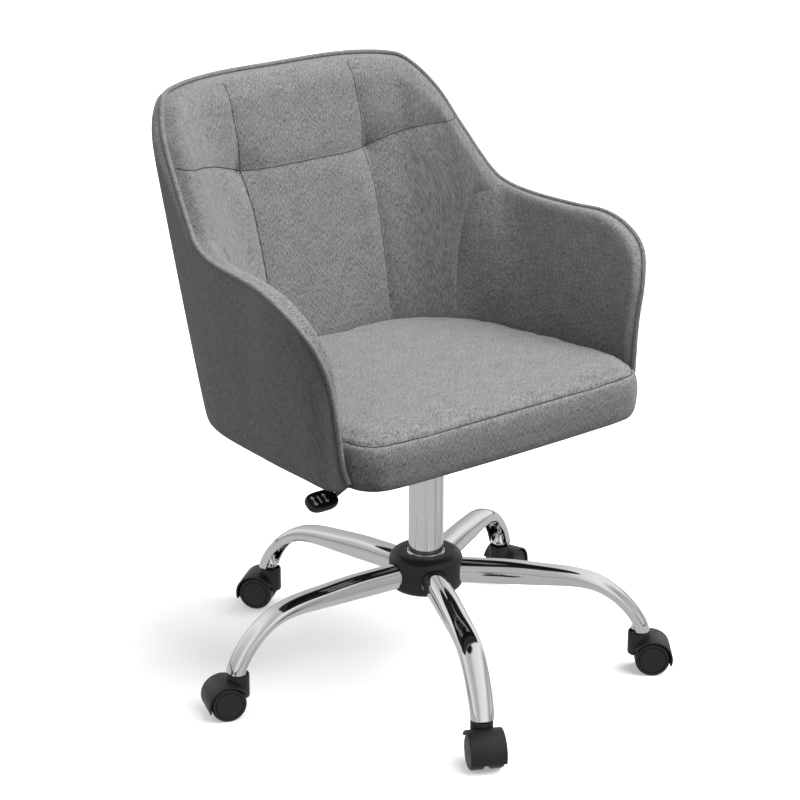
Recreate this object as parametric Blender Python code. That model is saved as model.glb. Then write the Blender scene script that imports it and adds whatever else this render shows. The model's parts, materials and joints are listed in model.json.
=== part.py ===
"""Swivel office chair: upholstered bucket shell on a gas column and a five-leg caster base.

Metres, +Z up, floor at z = 0, front of the seat towards -Y, the sitter's right at -X.
Everything is placed from the column's axis, which stands at COLUMN in the object's frame.
"""
import bmesh
import bpy
import numpy as np
from math import cos, pi, radians, sin
from mathutils import Matrix, Vector

# ---- driving dimensions (metres, degrees) -------------------------------------------------
COLUMN = (0.01831, -0.01514)      # column axis, from the middle of the object's footprint
GAP = 0.0003                      # between pieces that touch
RUNNING = 0.00022                 # extra radius of a bore that turns on a shaft
FINE, MEDIUM, SMALL = 24, 16, 12  # sides of large, middle and small round pieces
LEG_SIDES = 10

STEM_CIRCLE = 0.305               # column axis to caster stem
FIRST_LEG_ANGLE = 101.2           # leg 1, anticlockwise from +X
LEG_COUNT = 5
CASTER_TRAIL_ANGLES = (128.0, 160.0, 243.0, 322.0, 20.0)

WHEEL_RADIUS = 0.025
WHEEL_WIDTH = 0.0195
CASTER_WIDTH = 0.050
WEB_THICKNESS = 0.0076
CASTER_TRAIL = 0.019              # stem axis to wheel axle
HOOD_RADIUS = 0.029
HOOD_INNER_RADIUS = 0.0264
COLLAR_RADIUS = 0.0155
COLLAR_TOP = 0.062
STEM_RADIUS = 0.0055
STEM_BOTTOM, STEM_TOP = 0.044, 0.080
STEM_NECK, STEM_BALL = 0.0026, 0.0036   # radii of the neck and the ball that snap through the socket
STEM_END = 0.0862
AXLE_RADIUS = 0.003
AXLE_LENGTH = 0.036

LEG_WALL = 0.0018
LEG_OPEN_FROM = 4                 # station where the pressed tube opens underneath
# leg centre line: radius, height, half width, half height, tilt of the section (degrees)
LEG_STATIONS = (
    (0.0316, 0.1480, 0.0175, 0.0178, 90),
    (0.1140, 0.1470, 0.0175, 0.0174, 89),
    (0.1600, 0.1450, 0.0175, 0.0155, 87),
    (0.2100, 0.1420, 0.0175, 0.0128, 80),
    (0.2430, 0.1345, 0.0175, 0.0108, 67),
    (0.2700, 0.1180, 0.0172, 0.0098, 51),
    (0.2910, 0.0960, 0.0168, 0.0104, 36),
    (0.3030, 0.0770, 0.0165, 0.0116, 18),
    (0.3080, 0.0645, 0.0163, 0.0124, 0),
)
SOCKET_RADII = (0.0100, 0.0075)   # bottom and top of the caster socket's cone
SOCKET_HEIGHTS = (0.0665, 0.0800)
SOCKET_WEB = 0.0030               # thickness of the rib that holds the socket in the leg

HUB_BOTTOM, HUB_TOP = 0.124, 0.1780
HUB_RADIUS = 0.0525
HUB_WALL = 0.003
HUB_MOUTH_RADIUS = 0.0278
SLEEVE_RADIUS = 0.0312
COLUMN_RADIUS = 0.025
COLUMN_BOTTOM, COLUMN_TOP = 0.1225, 0.3180
CYLINDER_RADIUS = 0.014
ROD_RADIUS = 0.005

MECHANISM_BOTTOM = 0.3235
MECHANISM_HALF_WIDTH = 0.033
MECHANISM_FRONT, MECHANISM_BACK = -0.080, 0.078
MECHANISM_WALL = 0.003
PIVOT_Y, PIVOT_Z = -0.060, 0.348  # tilt pin
PIN_RADIUS = 0.004
SCREW_RADIUS = 0.004
KNOB_RADIUS, KNOB_HEIGHT = 0.0175, 0.026
SPRING_FLANGE = 0.002             # thickness of the spring's seat on the knob's screw
SPRING_RADIUS, SPRING_WIRE, SPRING_TURNS = 0.0095, 0.0016, 4
LEVER_PIVOT_X, LEVER_Z = -0.033, 0.352
LEVER_ROD_RADIUS = 0.0034
PADDLE_CENTRE = (-0.247, -0.086, 0.3430)
PADDLE_LENGTH, PADDLE_WIDTH = 0.046, 0.030
PADDLE_TILT = 30                  # top face turned forward about the paddle's length
KNOB_Y = 0.052
PLATE_BOTTOM, PLATE_TOP = 0.3675, 0.3710
BOLT_SPACING = (0.150, 0.130)
BOARD_BOTTOM, BOARD_TOP = 0.3737, 0.3857

SHELL_BOTTOM = 0.375
PAD_FOOT_HEIGHT = 0.450           # where the pads meet the cushion
ROUND_EDGE = 0.022                # depth over which the rim rounds out to full thickness
PAD_CROWN = 0.026
PIPING_RADIUS = 0.0032
PIPING_CLEARANCE = 0.0074         # from the piping's centre line to the layers' top edge
PAD_SHARE = 0.83                  # share of the drop at which the pads reach the cushion
OUTER_COVER = (0.0, 0.14)         # layers of the shell, as fractions from outside to inside
FRAME_LAYER = (0.19, 0.35)
PAD_LAYER = (0.40, 1.0)
FRAME_END = 11                    # station where the frame stops short of the arm's front
SHELL_SAMPLES = 1                 # columns of points for each station
PAD_JOIN = 7                      # station of the seam between back and arm
CUSHION_GAP = 0.0015
SEAM_GAP = 0.0006

# Right half of the shell, from the middle of the back round to the arm's front foot:
# rim x, y, z; outer foot x, y; inner foot x, y; outward bulge of the cover (millimetres)
SHELL_STATIONS = (
    (0, 352, 817, 0, 246, 0, 211, 14),
    (112, 348, 817, 90, 246, 82, 209, 16),
    (185, 335, 811, 155, 239, 130, 193, 18),
    (215, 315, 800, 200, 224, 163, 166, 19),
    (240, 277, 762, 229, 203, 188, 138, 17),
    (252, 234, 712, 246, 176, 203, 110, 11),
    (264, 182, 657, 257, 145, 211, 85, 7),
    (272, 151, 638, 262, 115, 216, 62, 4),
    (281, 100, 630, 265, 80, 221, 42, 3),
    (290, 25, 629, 268, 25, 229, 10, 3),
    (300, -30, 629, 270, -25, 238, -35, 3),
    (302, -74, 618, 270, -70, 245, -75, 3),
    (296, -112, 595, 271, -105, 249, -105, 2),
    (280, -133, 555, 270, -124, 250, -121, 1),
    (265, -139, 495, 266, -134, 250, -129, 0),
    (256, -144, 417, 261, -139, 250, -133, 0),
    (250, -150, 388, 256, -142, 249, -136, 0),
)

CUSHION_BOTTOM, CUSHION_LIP = 0.3863, 0.3705
CUSHION_FRONT = -0.190
CUSHION_FRONT_HALF_WIDTH = 0.2485
CUSHION_CORNER = 0.042            # radius of the front corners seen from above
CUSHION_LIP_BACK = -0.130
BOARD_SIDE_END = -0.080
CUSHION_SIDE_END = -0.128         # where the sides leave the pads for the front corners
CUSHION_BOW = 0.005               # forward curve of the front edge

BLACK = (0.018, 0.018, 0.020, 1)
CHROME = (0.82, 0.82, 0.84, 1)
STEEL = (0.42, 0.43, 0.45, 1)
ZINC = (0.55, 0.55, 0.53, 1)
GREY_CLOTH = (0.30, 0.30, 0.305, 1)
DARK_CLOTH = (0.16, 0.16, 0.165, 1)
PLY = (0.62, 0.47, 0.30, 1)


# ---- helpers ------------------------------------------------------------------------------
def material(name, colour, metallic, roughness):
    made = bpy.data.materials.new(name)
    made.use_nodes = True
    shader = made.node_tree.nodes["Principled BSDF"]
    shader.inputs["Base Color"].default_value = colour
    shader.inputs["Metallic"].default_value = metallic
    shader.inputs["Roughness"].default_value = roughness
    return made


def empty(name, location, parent=None):
    made = bpy.data.objects.new(name, None)
    bpy.context.scene.collection.objects.link(made)
    made.parent = parent
    made.location = location
    return made


def add_mesh(name, mesh, look=None, parent=None, location=(0, 0, 0), turn=0.0):
    """Link an object; look is (colour, metallic, roughness), and location is under parent."""
    made = bpy.data.objects.new(name, mesh)
    bpy.context.scene.collection.objects.link(made)
    made.parent = parent
    made.location = location
    made.rotation_euler = (0, 0, turn)
    if look:
        made.data.materials.clear()
        made.data.materials.append(material(name, *look))
    return made


def finish_mesh(bm, name, smooth=True):
    bmesh.ops.recalc_face_normals(bm, faces=bm.faces)
    mesh = bpy.data.meshes.new(name)
    bm.to_mesh(mesh)
    bm.free()
    if smooth:
        mesh.shade_smooth()
        mesh.set_sharp_from_angle(angle=radians(35))
    return mesh


def turned(name, profile, segments, axis="Z"):
    """A closed outline of (radius, height) points, spun about the Z or X axis."""
    bm = bmesh.new()
    along = Vector((0, 0, 1)) if axis == "Z" else Vector((1, 0, 0))
    outward = Vector((1, 0, 0)) if axis == "Z" else Vector((0, 0, 1))
    verts = [bm.verts.new(outward * r + along * h) for r, h in profile]
    edges = [bm.edges.new((verts[i], verts[(i + 1) % len(verts)])) for i in range(len(verts))]
    on_axis = [e for e in edges if all((v.co - along * v.co.dot(along)).length < 1e-7 for v in e.verts)]
    spun = [e for e in edges if e not in on_axis]
    bmesh.ops.spin(bm, geom=verts + spun, axis=along, cent=(0, 0, 0), angle=2 * pi, steps=segments,
                   use_merge=True)
    bmesh.ops.delete(bm, geom=[e for e in bm.edges if not e.link_faces], context="EDGES")
    bmesh.ops.remove_doubles(bm, verts=bm.verts, dist=1e-6)
    return finish_mesh(bm, name)


def skinned(name, rings, smooth=True):
    """A skin over rings of equally many points, with both ends capped."""
    bm = bmesh.new()
    rows = [[bm.verts.new(p) for p in ring] for ring in rings]
    count = len(rings[0])
    for low, high in zip(rows[:-1], rows[1:]):
        for i in range(count):
            j = (i + 1) % count
            bm.faces.new((low[i], low[j], high[j], high[i]))
    bm.faces.new(rows[0])
    bm.faces.new(rows[-1])
    return finish_mesh(bm, name, smooth)


def extruded(name, outline, lift):
    """A flat outline of 3-D points, pushed along the vector lift."""
    top = [Vector(p) + Vector(lift) for p in outline]
    return skinned(name, [[Vector(p) for p in outline], top], smooth=False)


def box(name, low, high):
    outline = [(low[0], low[1], low[2]), (high[0], low[1], low[2]),
               (high[0], high[1], low[2]), (low[0], high[1], low[2])]
    return extruded(name, outline, (0, 0, high[2] - low[2]))


def combined(mesh, operations, name):
    """Apply Boolean operations to a mesh and return the result as a new mesh."""
    body = add_mesh(name + ".work", mesh)
    helpers = []
    for operation, tool_mesh in operations:
        tool = add_mesh(name + ".tool", tool_mesh)
        helpers.append(tool)
        modifier = body.modifiers.new(operation, "BOOLEAN")
        modifier.operation = operation
        modifier.object = tool
    bpy.context.view_layer.update()
    evaluated = body.evaluated_get(bpy.context.evaluated_depsgraph_get())
    result = bpy.data.meshes.new_from_object(evaluated)
    for made in helpers + [body]:
        bpy.data.objects.remove(made)
    bm = bmesh.new()
    bm.from_mesh(result)
    bmesh.ops.remove_doubles(bm, verts=bm.verts, dist=1e-6)
    bmesh.ops.dissolve_degenerate(bm, edges=bm.edges, dist=1e-6)
    bm.to_mesh(result)
    bm.free()
    result.name = name
    result.shade_smooth()
    result.set_sharp_from_angle(angle=radians(35))
    return result


def through(points, per_span):
    """Catmull-Rom curve through rows of numbers, with per_span samples in each span."""
    points = np.asarray(points, float)
    padded = np.vstack([2 * points[0] - points[1], points, 2 * points[-1] - points[-2]])
    return _sampled(padded, per_span)


def _sampled(padded, per_span):
    out = []
    for i in range(1, len(padded) - 2):
        a, b, c, d = padded[i - 1:i + 3]
        for k in range(per_span):
            t = k / per_span
            out.append(0.5 * (2 * b + (c - a) * t + (2 * a - 5 * b + 4 * c - d) * t ** 2
                              + (3 * b - a - 3 * c + d) * t ** 3))
    out.append(padded[-2])
    return np.array(out)


def superellipse(half_width, half_height, count, power=2.5):
    points = []
    for k in range(count):
        angle = 2 * pi * (k + 0.5) / count
        c, s = cos(angle), sin(angle)
        points.append((half_width * abs(c) ** (2 / power) * (1 if c > 0 else -1),
                       half_height * abs(s) ** (2 / power) * (1 if s > 0 else -1)))
    return points


# ---- base ---------------------------------------------------------------------------------
def leg_rings(stations, shrink, extend=0.0):
    """Rings of the leg along +X; a ring's tilt turns its upper side from outward to up."""
    rings = []
    for index, (r, z, half_width, half_height, tilt) in enumerate(stations):
        up = Vector((cos(radians(tilt)), 0, sin(radians(tilt))))
        along = Vector((sin(radians(tilt)), 0, -cos(radians(tilt))))
        shift = extend * (-1 if index == 0 else 1 if index == len(stations) - 1 else 0)
        centre = Vector((r, 0, z)) + along * shift
        ring = superellipse(half_width - shrink, half_height - shrink, LEG_SIDES)
        rings.append([centre + Vector((0, 1, 0)) * across + up * rise for across, rise in ring])
    return rings


def underside_rings(stations):
    """Slot that removes the floor of the pressed tube over its outer end."""
    rings = []
    for index, (r, z, half_width, half_height, tilt) in enumerate(stations):
        up = Vector((cos(radians(tilt)), 0, sin(radians(tilt))))
        along = Vector((sin(radians(tilt)), 0, -cos(radians(tilt))))
        centre = Vector((r, 0, z)) + along * (0.006 if index == len(stations) - 1 else 0)
        side = half_width - 1.6 * LEG_WALL
        low = -half_height - 0.004
        ring = ((side, low), (side, 0.001), (-side, 0.001), (-side, low))
        rings.append([centre + Vector((0, 1, 0)) * across + up * rise for across, rise in ring])
    return rings


def leg_mesh():
    stations = LEG_STATIONS
    outer = skinned("leg.outer", leg_rings(stations, 0.0))
    hollow = skinned("leg.hollow", leg_rings(stations, LEG_WALL, extend=0.006))
    slot = skinned("leg.slot", underside_rings(stations[LEG_OPEN_FROM:]))
    low_radius, high_radius = SOCKET_RADII
    low, high = SOCKET_HEIGHTS
    socket = turned("leg.socket", ((0, low), (low_radius, low), (high_radius, high), (0, high)), SMALL)
    r, top = STEM_RADIUS + GAP, high + 0.002
    bore = turned("leg.bore", ((0, 0.060), (r, 0.060), (r, top), (0, top)), SMALL)
    web = box("leg.web", (0.001, -SOCKET_WEB / 2, low + 0.001), (0.016, SOCKET_WEB / 2, high - 0.001))
    for tool in (socket, bore, web):
        tool.transform(Matrix.Translation((STEM_CIRCLE, 0, 0)))
    socket = combined(socket, [("UNION", web)], "leg.socket")
    cavity = combined(hollow, [("UNION", slot), ("DIFFERENCE", socket)], "leg.cavity")
    return combined(outer, [("DIFFERENCE", cavity), ("DIFFERENCE", bore)], "leg")


def hub_cover_mesh():
    top, bottom, r = HUB_TOP, HUB_BOTTOM, HUB_RADIUS
    shoulder = [(r - 0.010 + 0.010 * sin(a), top - 0.012 + 0.012 * cos(a))
                for a in (radians(d) for d in range(0, 91, 30))]
    foot = [(r, bottom + 0.006), (r - 0.004, bottom)]
    inner_top = top - HUB_WALL
    inside = [(r - 0.009, bottom), (r - HUB_WALL, bottom + 0.009), (r - HUB_WALL, inner_top - 0.010),
              (r - HUB_WALL - 0.009, inner_top), (HUB_MOUTH_RADIUS, inner_top)]
    mouth = [(HUB_MOUTH_RADIUS, top - 0.001), (HUB_MOUTH_RADIUS + 0.001, top)]
    cover = turned("hub_cover.turned", mouth + shoulder + foot + inside, FINE)
    stub = superellipse(0.0175 + 2 * GAP, 0.0178 + 2 * GAP, LEG_SIDES)
    z = LEG_STATIONS[0][1]
    cuts = []
    for k in range(LEG_COUNT):
        turn = Matrix.Rotation(radians(FIRST_LEG_ANGLE + 72 * k), 3, "Z")
        rings = [[turn @ Vector((x, across, z + rise)) for across, rise in stub] for x in (0.040, 0.062)]
        cuts.append(("DIFFERENCE", skinned("hub_cover.cut", rings)))
    return combined(cover, cuts, "hub_cover")


def make_base(column):
    plastic = (BLACK, 0.0, 0.42)
    chrome = (CHROME, 1.0, 0.06)
    steel = (STEEL, 1.0, 0.35)
    add_mesh("hub_cover", hub_cover_mesh(), plastic, column)
    ring_top = HUB_TOP - 0.0013
    sleeve_bottom, bore = HUB_BOTTOM + 0.002, COLUMN_RADIUS + GAP
    sleeve = ((SLEEVE_RADIUS, sleeve_bottom), (SLEEVE_RADIUS, 0.1695), (0.0275, 0.1700), (0.0275, ring_top),
              (bore, ring_top), (bore, sleeve_bottom))
    add_mesh("hub_sleeve", turned("hub_sleeve", sleeve, FINE), chrome, column)
    leg = leg_mesh()
    for k in range(LEG_COUNT):
        shared = leg if k == 0 else leg.copy()
        add_mesh(f"leg_{k + 1}", shared, chrome, column, turn=radians(FIRST_LEG_ANGLE + 72 * k))
    r, bottom, top = COLUMN_RADIUS, COLUMN_BOTTOM, COLUMN_TOP
    floor = bottom + 0.002
    tube = ((r, bottom + 0.006), (r, top), (r - 0.002, top), (r - 0.002, bottom + 0.006), (r - 0.004, floor),
            (ROD_RADIUS + 0.0006, floor), (ROD_RADIUS + 0.0006, bottom), (r - 0.002, bottom))
    add_mesh("column_tube", turned("column_tube", tube, FINE), chrome, column)
    bore = CYLINDER_RADIUS + RUNNING
    bush = ((r - 0.002 - GAP, 0.250), (r - 0.002 - GAP, top + GAP), (r, top + GAP), (r, top + 0.0025),
            (r - 0.002, top + 0.0030), (bore, top + 0.0030), (bore, 0.250))
    add_mesh("column_bush", turned("column_bush", bush, FINE), plastic, column)
    bearing_low, bearing_top = floor + GAP, floor + 0.006
    bearing = ((0.0056, bearing_low), (0.015, bearing_low), (0.015, bearing_top), (0.0056, bearing_top))
    add_mesh("thrust_bearing", turned("thrust_bearing", bearing, MEDIUM), steel, column)


def make_lift(column):
    chrome = (CHROME, 1.0, 0.06)
    steel = (STEEL, 1.0, 0.35)
    r = ROD_RADIUS
    foot, shoulder = COLUMN_BOTTOM - 0.0075, COLUMN_BOTTOM + 0.0085
    groove, groove_top = foot + 0.0024, foot + 0.0038
    piston = CYLINDER_RADIUS - 0.0024
    piston_low, piston_top = 0.268, 0.278
    rod = ((0, foot), (r, foot), (r, groove), (r - 0.0012, groove), (r - 0.0012, groove_top), (r, groove_top),
           (r, shoulder), (0.0085, shoulder), (0.0085, shoulder + 0.0023), (r, shoulder + 0.0023),
           (r, piston_low), (piston, piston_low), (piston, piston_top), (0, piston_top))
    add_mesh("piston_rod", turned("piston_rod", rod, MEDIUM), steel, column)
    low, high, inside = groove + GAP, groove_top - GAP, r - 0.0012 + GAP
    clip = ((inside, low), (0.009, low), (0.009, high), (inside, high))
    add_mesh("column_clip", turned("column_clip", clip, MEDIUM), steel, column)
    c, bottom = CYLINDER_RADIUS, 0.1530
    cylinder = ((r + RUNNING, bottom), (c, bottom), (c, 0.3180), (c - 0.001, 0.3450), (0.0031, 0.3450),
                (0.0031, 0.3335), (0, 0.3335), (0, 0.3290), (c - 0.002, 0.3290), (c - 0.002, bottom + 0.007),
                (r + RUNNING, bottom + 0.007))
    add_mesh("gas_cylinder", turned("gas_cylinder", cylinder, MEDIUM), chrome, column)
    button_at = empty("release_button_axis", (0, 0, 0.348), column)
    button = ((0, -0.0110), (0.0027, -0.0110), (0.0027, -0.0004), (0.0022, 0), (0, 0))
    add_mesh("release_button", turned("release_button", button, SMALL), steel, button_at)


# ---- casters ------------------------------------------------------------------------------
def disc_prism(name, radius, half_width, centre, segments=SMALL):
    mesh = turned(name, ((0, -half_width), (radius, -half_width), (radius, half_width), (0, half_width)),
                  segments, axis="X")
    mesh.transform(Matrix.Translation(centre))
    return mesh


def caster_hood_mesh():
    """Local frame: stem on Z at the origin, wheels trail towards +Y, axle along X."""
    trail, axle_z = CASTER_TRAIL, WHEEL_RADIUS
    half = CASTER_WIDTH / 2

    def rim(radius, degrees):
        return (trail + radius * cos(radians(degrees)), axle_z + radius * sin(radians(degrees)))

    arc = [rim(HOOD_RADIUS, d) for d in range(-18, 151, 24)]
    arc += [rim(HOOD_INNER_RADIUS - 0.006, d) for d in (150, 90, 36, -18)]
    hood = extruded("hood.arc", [(-half, y, z) for y, z in arc], (CASTER_WIDTH, 0, 0))
    collar = turned("hood.collar", ((0, 0.030), (COLLAR_RADIUS, 0.030), (COLLAR_RADIUS, COLLAR_TOP),
                                    (0, COLLAR_TOP)), SMALL)
    room = disc_prism("hood.room", HOOD_INNER_RADIUS, half + 0.002, (0, trail, axle_z), 24)
    web = [rim(HOOD_RADIUS - 0.0012, d) for d in range(-13, 147, 27)]
    web += [(-0.003, 0.030), (0.006, 0.014), (0.019, 0.009), (0.034, 0.011)]
    web_mesh = extruded("hood.web", [(-WEB_THICKNESS / 2, y, z) for y, z in web], (WEB_THICKNESS, 0, 0))
    bore_radius = STEM_RADIUS + RUNNING
    bore = turned("hood.bore", ((0, 0.0435), (bore_radius, 0.0435), (bore_radius, COLLAR_TOP - 0.003),
                                (bore_radius + 0.004, COLLAR_TOP - 0.003),
                                (bore_radius + 0.004, COLLAR_TOP + 0.002), (0, COLLAR_TOP + 0.002)), SMALL)
    pin = disc_prism("hood.pin", AXLE_RADIUS + GAP, half, (0, trail, axle_z))
    return combined(hood, [("UNION", collar), ("DIFFERENCE", room), ("UNION", web_mesh),
                           ("DIFFERENCE", bore), ("DIFFERENCE", pin)], "caster_hood")


def wheel_mesh():
    """Turned about X, from the web side at x = 0 to the closed outer face, with a flat underneath."""
    r, w = WHEEL_RADIUS / cos(pi / MEDIUM), WHEEL_WIDTH
    bore = AXLE_RADIUS + RUNNING
    profile = ((bore, 0), (r - 0.002, 0), (r, 0.002), (r, w - 0.0035), (r - 0.0035, w),
               (r - 0.009, w - 0.0012), (0, w - 0.0006), (0, w - 0.004), (bore, w - 0.004))
    mesh = turned("caster_wheel", profile, MEDIUM, axis="X")
    mesh.transform(Matrix.Rotation(pi / MEDIUM, 4, "X"))
    return mesh


def make_casters(column):
    plastic = (BLACK, 0.0, 0.40)
    steel = (STEEL, 1.0, 0.30)
    hood = caster_hood_mesh()
    wheel = wheel_mesh()
    outline = ((0, STEM_BOTTOM), (STEM_RADIUS, STEM_BOTTOM), (STEM_RADIUS, STEM_TOP - 0.0005),
               (STEM_NECK, STEM_TOP), (STEM_BALL, STEM_TOP + 0.0024), (STEM_NECK, STEM_END - 0.0008),
               (0, STEM_END))
    stem = turned("caster_stem", outline, SMALL)
    axle = disc_prism("caster_axle", AXLE_RADIUS, AXLE_LENGTH / 2, (0, 0, 0))
    for k in range(LEG_COUNT):
        leg_angle = radians(FIRST_LEG_ANGLE + 72 * k)
        place = (STEM_CIRCLE * cos(leg_angle), STEM_CIRCLE * sin(leg_angle), 0)
        turn = radians(CASTER_TRAIL_ANGLES[k] - 90)
        add_mesh(f"caster_stem_{k + 1}", stem.copy(), steel, column, location=place)
        swivel = empty(f"caster_swivel_{k + 1}", place, column)
        swivel.rotation_euler = (0, 0, turn)
        add_mesh(f"caster_hood_{k + 1}", hood.copy(), plastic, swivel)
        spin = empty(f"caster_spin_{k + 1}", (0, CASTER_TRAIL, WHEEL_RADIUS), swivel)
        add_mesh(f"caster_axle_{k + 1}", axle.copy(), steel, spin)
        inner_face = WEB_THICKNESS / 2 + GAP
        for side, sign, half_turn in (("a", 1, 0), ("b", -1, pi)):
            add_mesh(f"caster_wheel_{k + 1}{side}", wheel.copy(), plastic, spin,
                     location=(sign * inner_face, 0, 0), turn=half_turn)


# ---- mechanism ----------------------------------------------------------------------------
def side_outline(points, x):
    return [(x, y, z) for y, z in points]


def housing_mesh():
    half, wall = MECHANISM_HALF_WIDTH, MECHANISM_WALL
    front, back, bottom = MECHANISM_FRONT, MECHANISM_BACK, MECHANISM_BOTTOM
    above = PLATE_TOP
    outer = ((front, bottom), (back, bottom), (back, 0.3405), (PIVOT_Y, 0.3620), (front, 0.3620))
    inner = ((front + wall, bottom + wall), (back - wall, bottom + wall), (back - wall, above),
             (front + wall, above))
    shell = extruded("housing.outer", side_outline(outer, -half), (2 * half, 0, 0))
    pocket = extruded("housing.pocket", side_outline(inner, -half + wall), (2 * (half - wall), 0, 0))
    boss_low = bottom + 0.001
    boss = turned("housing.boss", ((0, boss_low), (0.019, boss_low), (0.017, 0.342), (0, 0.342)), MEDIUM)
    taper_low = CYLINDER_RADIUS + GAP
    taper = turned("housing.taper", ((0, bottom - 0.006), (taper_low, bottom - 0.006),
                                     (taper_low - 0.001, 0.346), (0, 0.346)), MEDIUM)
    pin = disc_prism("housing.pin", PIN_RADIUS + GAP, half + 0.01, (0, PIVOT_Y, PIVOT_Z))
    lever_slot = box("housing.lever_slot", (-half - 0.002, -0.0050, LEVER_Z - 0.0055),
                     (-half + wall + 0.002, 0.0050, above))
    low, high, hole = bottom - 0.002, bottom + 0.006, SCREW_RADIUS + GAP
    screw_hole = turned("housing.screw_hole", ((0, low), (hole, low), (hole, high), (0, high)), SMALL)
    screw_hole.transform(Matrix.Translation((0, KNOB_Y, 0)))
    operations = [("DIFFERENCE", pocket), ("UNION", boss)]
    operations += [("DIFFERENCE", tool) for tool in (taper, pin, lever_slot, screw_hole)]
    return combined(shell, operations, "mechanism_housing")


def wire(name, points, radius, look, parent):
    """A round bar or wire along a list of points, as a closed mesh."""
    curve = bpy.data.curves.new(name, "CURVE")
    curve.dimensions = "3D"
    curve.bevel_depth = radius
    curve.bevel_resolution = 1
    curve.use_fill_caps = True
    spline = curve.splines.new("POLY")
    spline.points.add(len(points) - 1)
    for point, place in zip(spline.points, points):
        point.co = (*place, 1)
    bar = bpy.data.objects.new(name, curve)
    bm = bmesh.new()
    bm.from_mesh(bar.to_mesh())
    bar.to_mesh_clear()
    bpy.data.objects.remove(bar)
    bmesh.ops.remove_doubles(bm, verts=bm.verts, dist=1e-6)
    add_mesh(name, finish_mesh(bm, name), look, parent)


def spring_seat():
    """Height of the top of the flange that carries the spring."""
    return MECHANISM_BOTTOM + MECHANISM_WALL + GAP + SPRING_FLANGE


def make_mechanism(column):
    painted = (BLACK, 0.0, 0.5)
    steel = (STEEL, 1.0, 0.35)
    add_mesh("mechanism_housing", housing_mesh(), painted, column)
    pin_at = empty("tilt_axis", (0, PIVOT_Y, PIVOT_Z), column)
    add_mesh("tilt_pin", disc_prism("tilt_pin", PIN_RADIUS, 0.0435, (0, 0, 0)), steel, pin_at)
    bottom = spring_seat() + SPRING_WIRE + GAP
    top = PLATE_BOTTOM - SPRING_WIRE - GAP
    steps = SPRING_TURNS * 10
    coil = []
    for k in range(steps + 1):
        angle = 2 * pi * SPRING_TURNS * k / steps
        height = bottom + (top - bottom) * k / steps
        coil.append((SPRING_RADIUS * cos(angle), KNOB_Y + SPRING_RADIUS * sin(angle), height))
    wire("tension_spring", coil, SPRING_WIRE, steel, column)


def make_knob(column):
    head_top = MECHANISM_BOTTOM - GAP
    knob_axis = empty("tension_knob_axis", (0, KNOB_Y, head_top), column)
    lobes = []
    for z, scale in ((-KNOB_HEIGHT, 0.86), (-KNOB_HEIGHT + 0.002, 0.95), (-0.004, 1.0), (0.0, 0.94)):
        ring = []
        for k in range(24):
            angle = 2 * pi * k / 24
            radius = scale * (KNOB_RADIUS + 0.0010 * cos(6 * angle))
            ring.append(Vector((radius * cos(angle), radius * sin(angle), z)))
        lobes.append(ring)
    head = skinned("tension_knob.head", lobes)
    seat = spring_seat() - head_top
    r, flange, under, end = SCREW_RADIUS, 0.0125, seat - SPRING_FLANGE, seat + 0.008
    outline = ((0, -0.010), (r, -0.010), (r, under), (flange, under), (flange, seat), (r, seat), (r, end),
               (0, end))
    knob = combined(head, [("UNION", turned("tension_knob.screw", outline, SMALL))], "tension_knob")
    add_mesh("tension_knob", knob, (BLACK, 0.0, 0.45), knob_axis)


def make_lever(column):
    pivot = empty("lever_axis", (LEVER_PIVOT_X, 0, LEVER_Z), column)
    x, y, z = PADDLE_CENTRE
    outer_end = Vector((x + 0.018, y, z + 0.0005))
    route = through([(0.004, 0, LEVER_Z), (-0.045, 0, LEVER_Z), (-0.080, -0.008, LEVER_Z),
                     (-0.165, -0.058, LEVER_Z - 0.003), outer_end], 3)
    back = Vector((LEVER_PIVOT_X, 0, LEVER_Z))
    wire("lever_rod", [Vector(p) - back for p in route], LEVER_ROD_RADIUS, (STEEL, 1.0, 0.3), pivot)
    length, width = PADDLE_LENGTH, PADDLE_WIDTH
    outline = superellipse(length / 2, width / 2, 20, 3.2)
    rings = []
    centre, tilt = Vector((x, y, z)) - back, Matrix.Rotation(radians(PADDLE_TILT), 3, "X")
    for rise, inset in ((-0.0060, 0.003), (-0.0038, 0.0), (0.0038, 0.0), (0.0060, 0.003)):
        scale_x, scale_y = 1 - 2 * inset / length, 1 - 2 * inset / width
        rings.append([centre + tilt @ Vector((a * scale_x, b * scale_y, rise)) for a, b in outline])
    paddle = skinned("lever_paddle.body", rings)
    direction = (Vector(route[-1]) - Vector(route[-2])).normalized()
    start = outer_end - back - direction * 0.020
    bore, depth = LEVER_ROD_RADIUS + GAP, 0.0205
    tool = turned("lever_paddle.bore", ((0, 0), (bore, 0), (bore, depth), (0, depth)), SMALL)
    tool.transform(Matrix.Translation(start) @ direction.to_track_quat("Z", "Y").to_matrix().to_4x4())
    paddle = combined(paddle, [("DIFFERENCE", tool)], "lever_paddle")
    add_mesh("lever_paddle", paddle, (BLACK, 0.0, 0.4), pivot)


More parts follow.
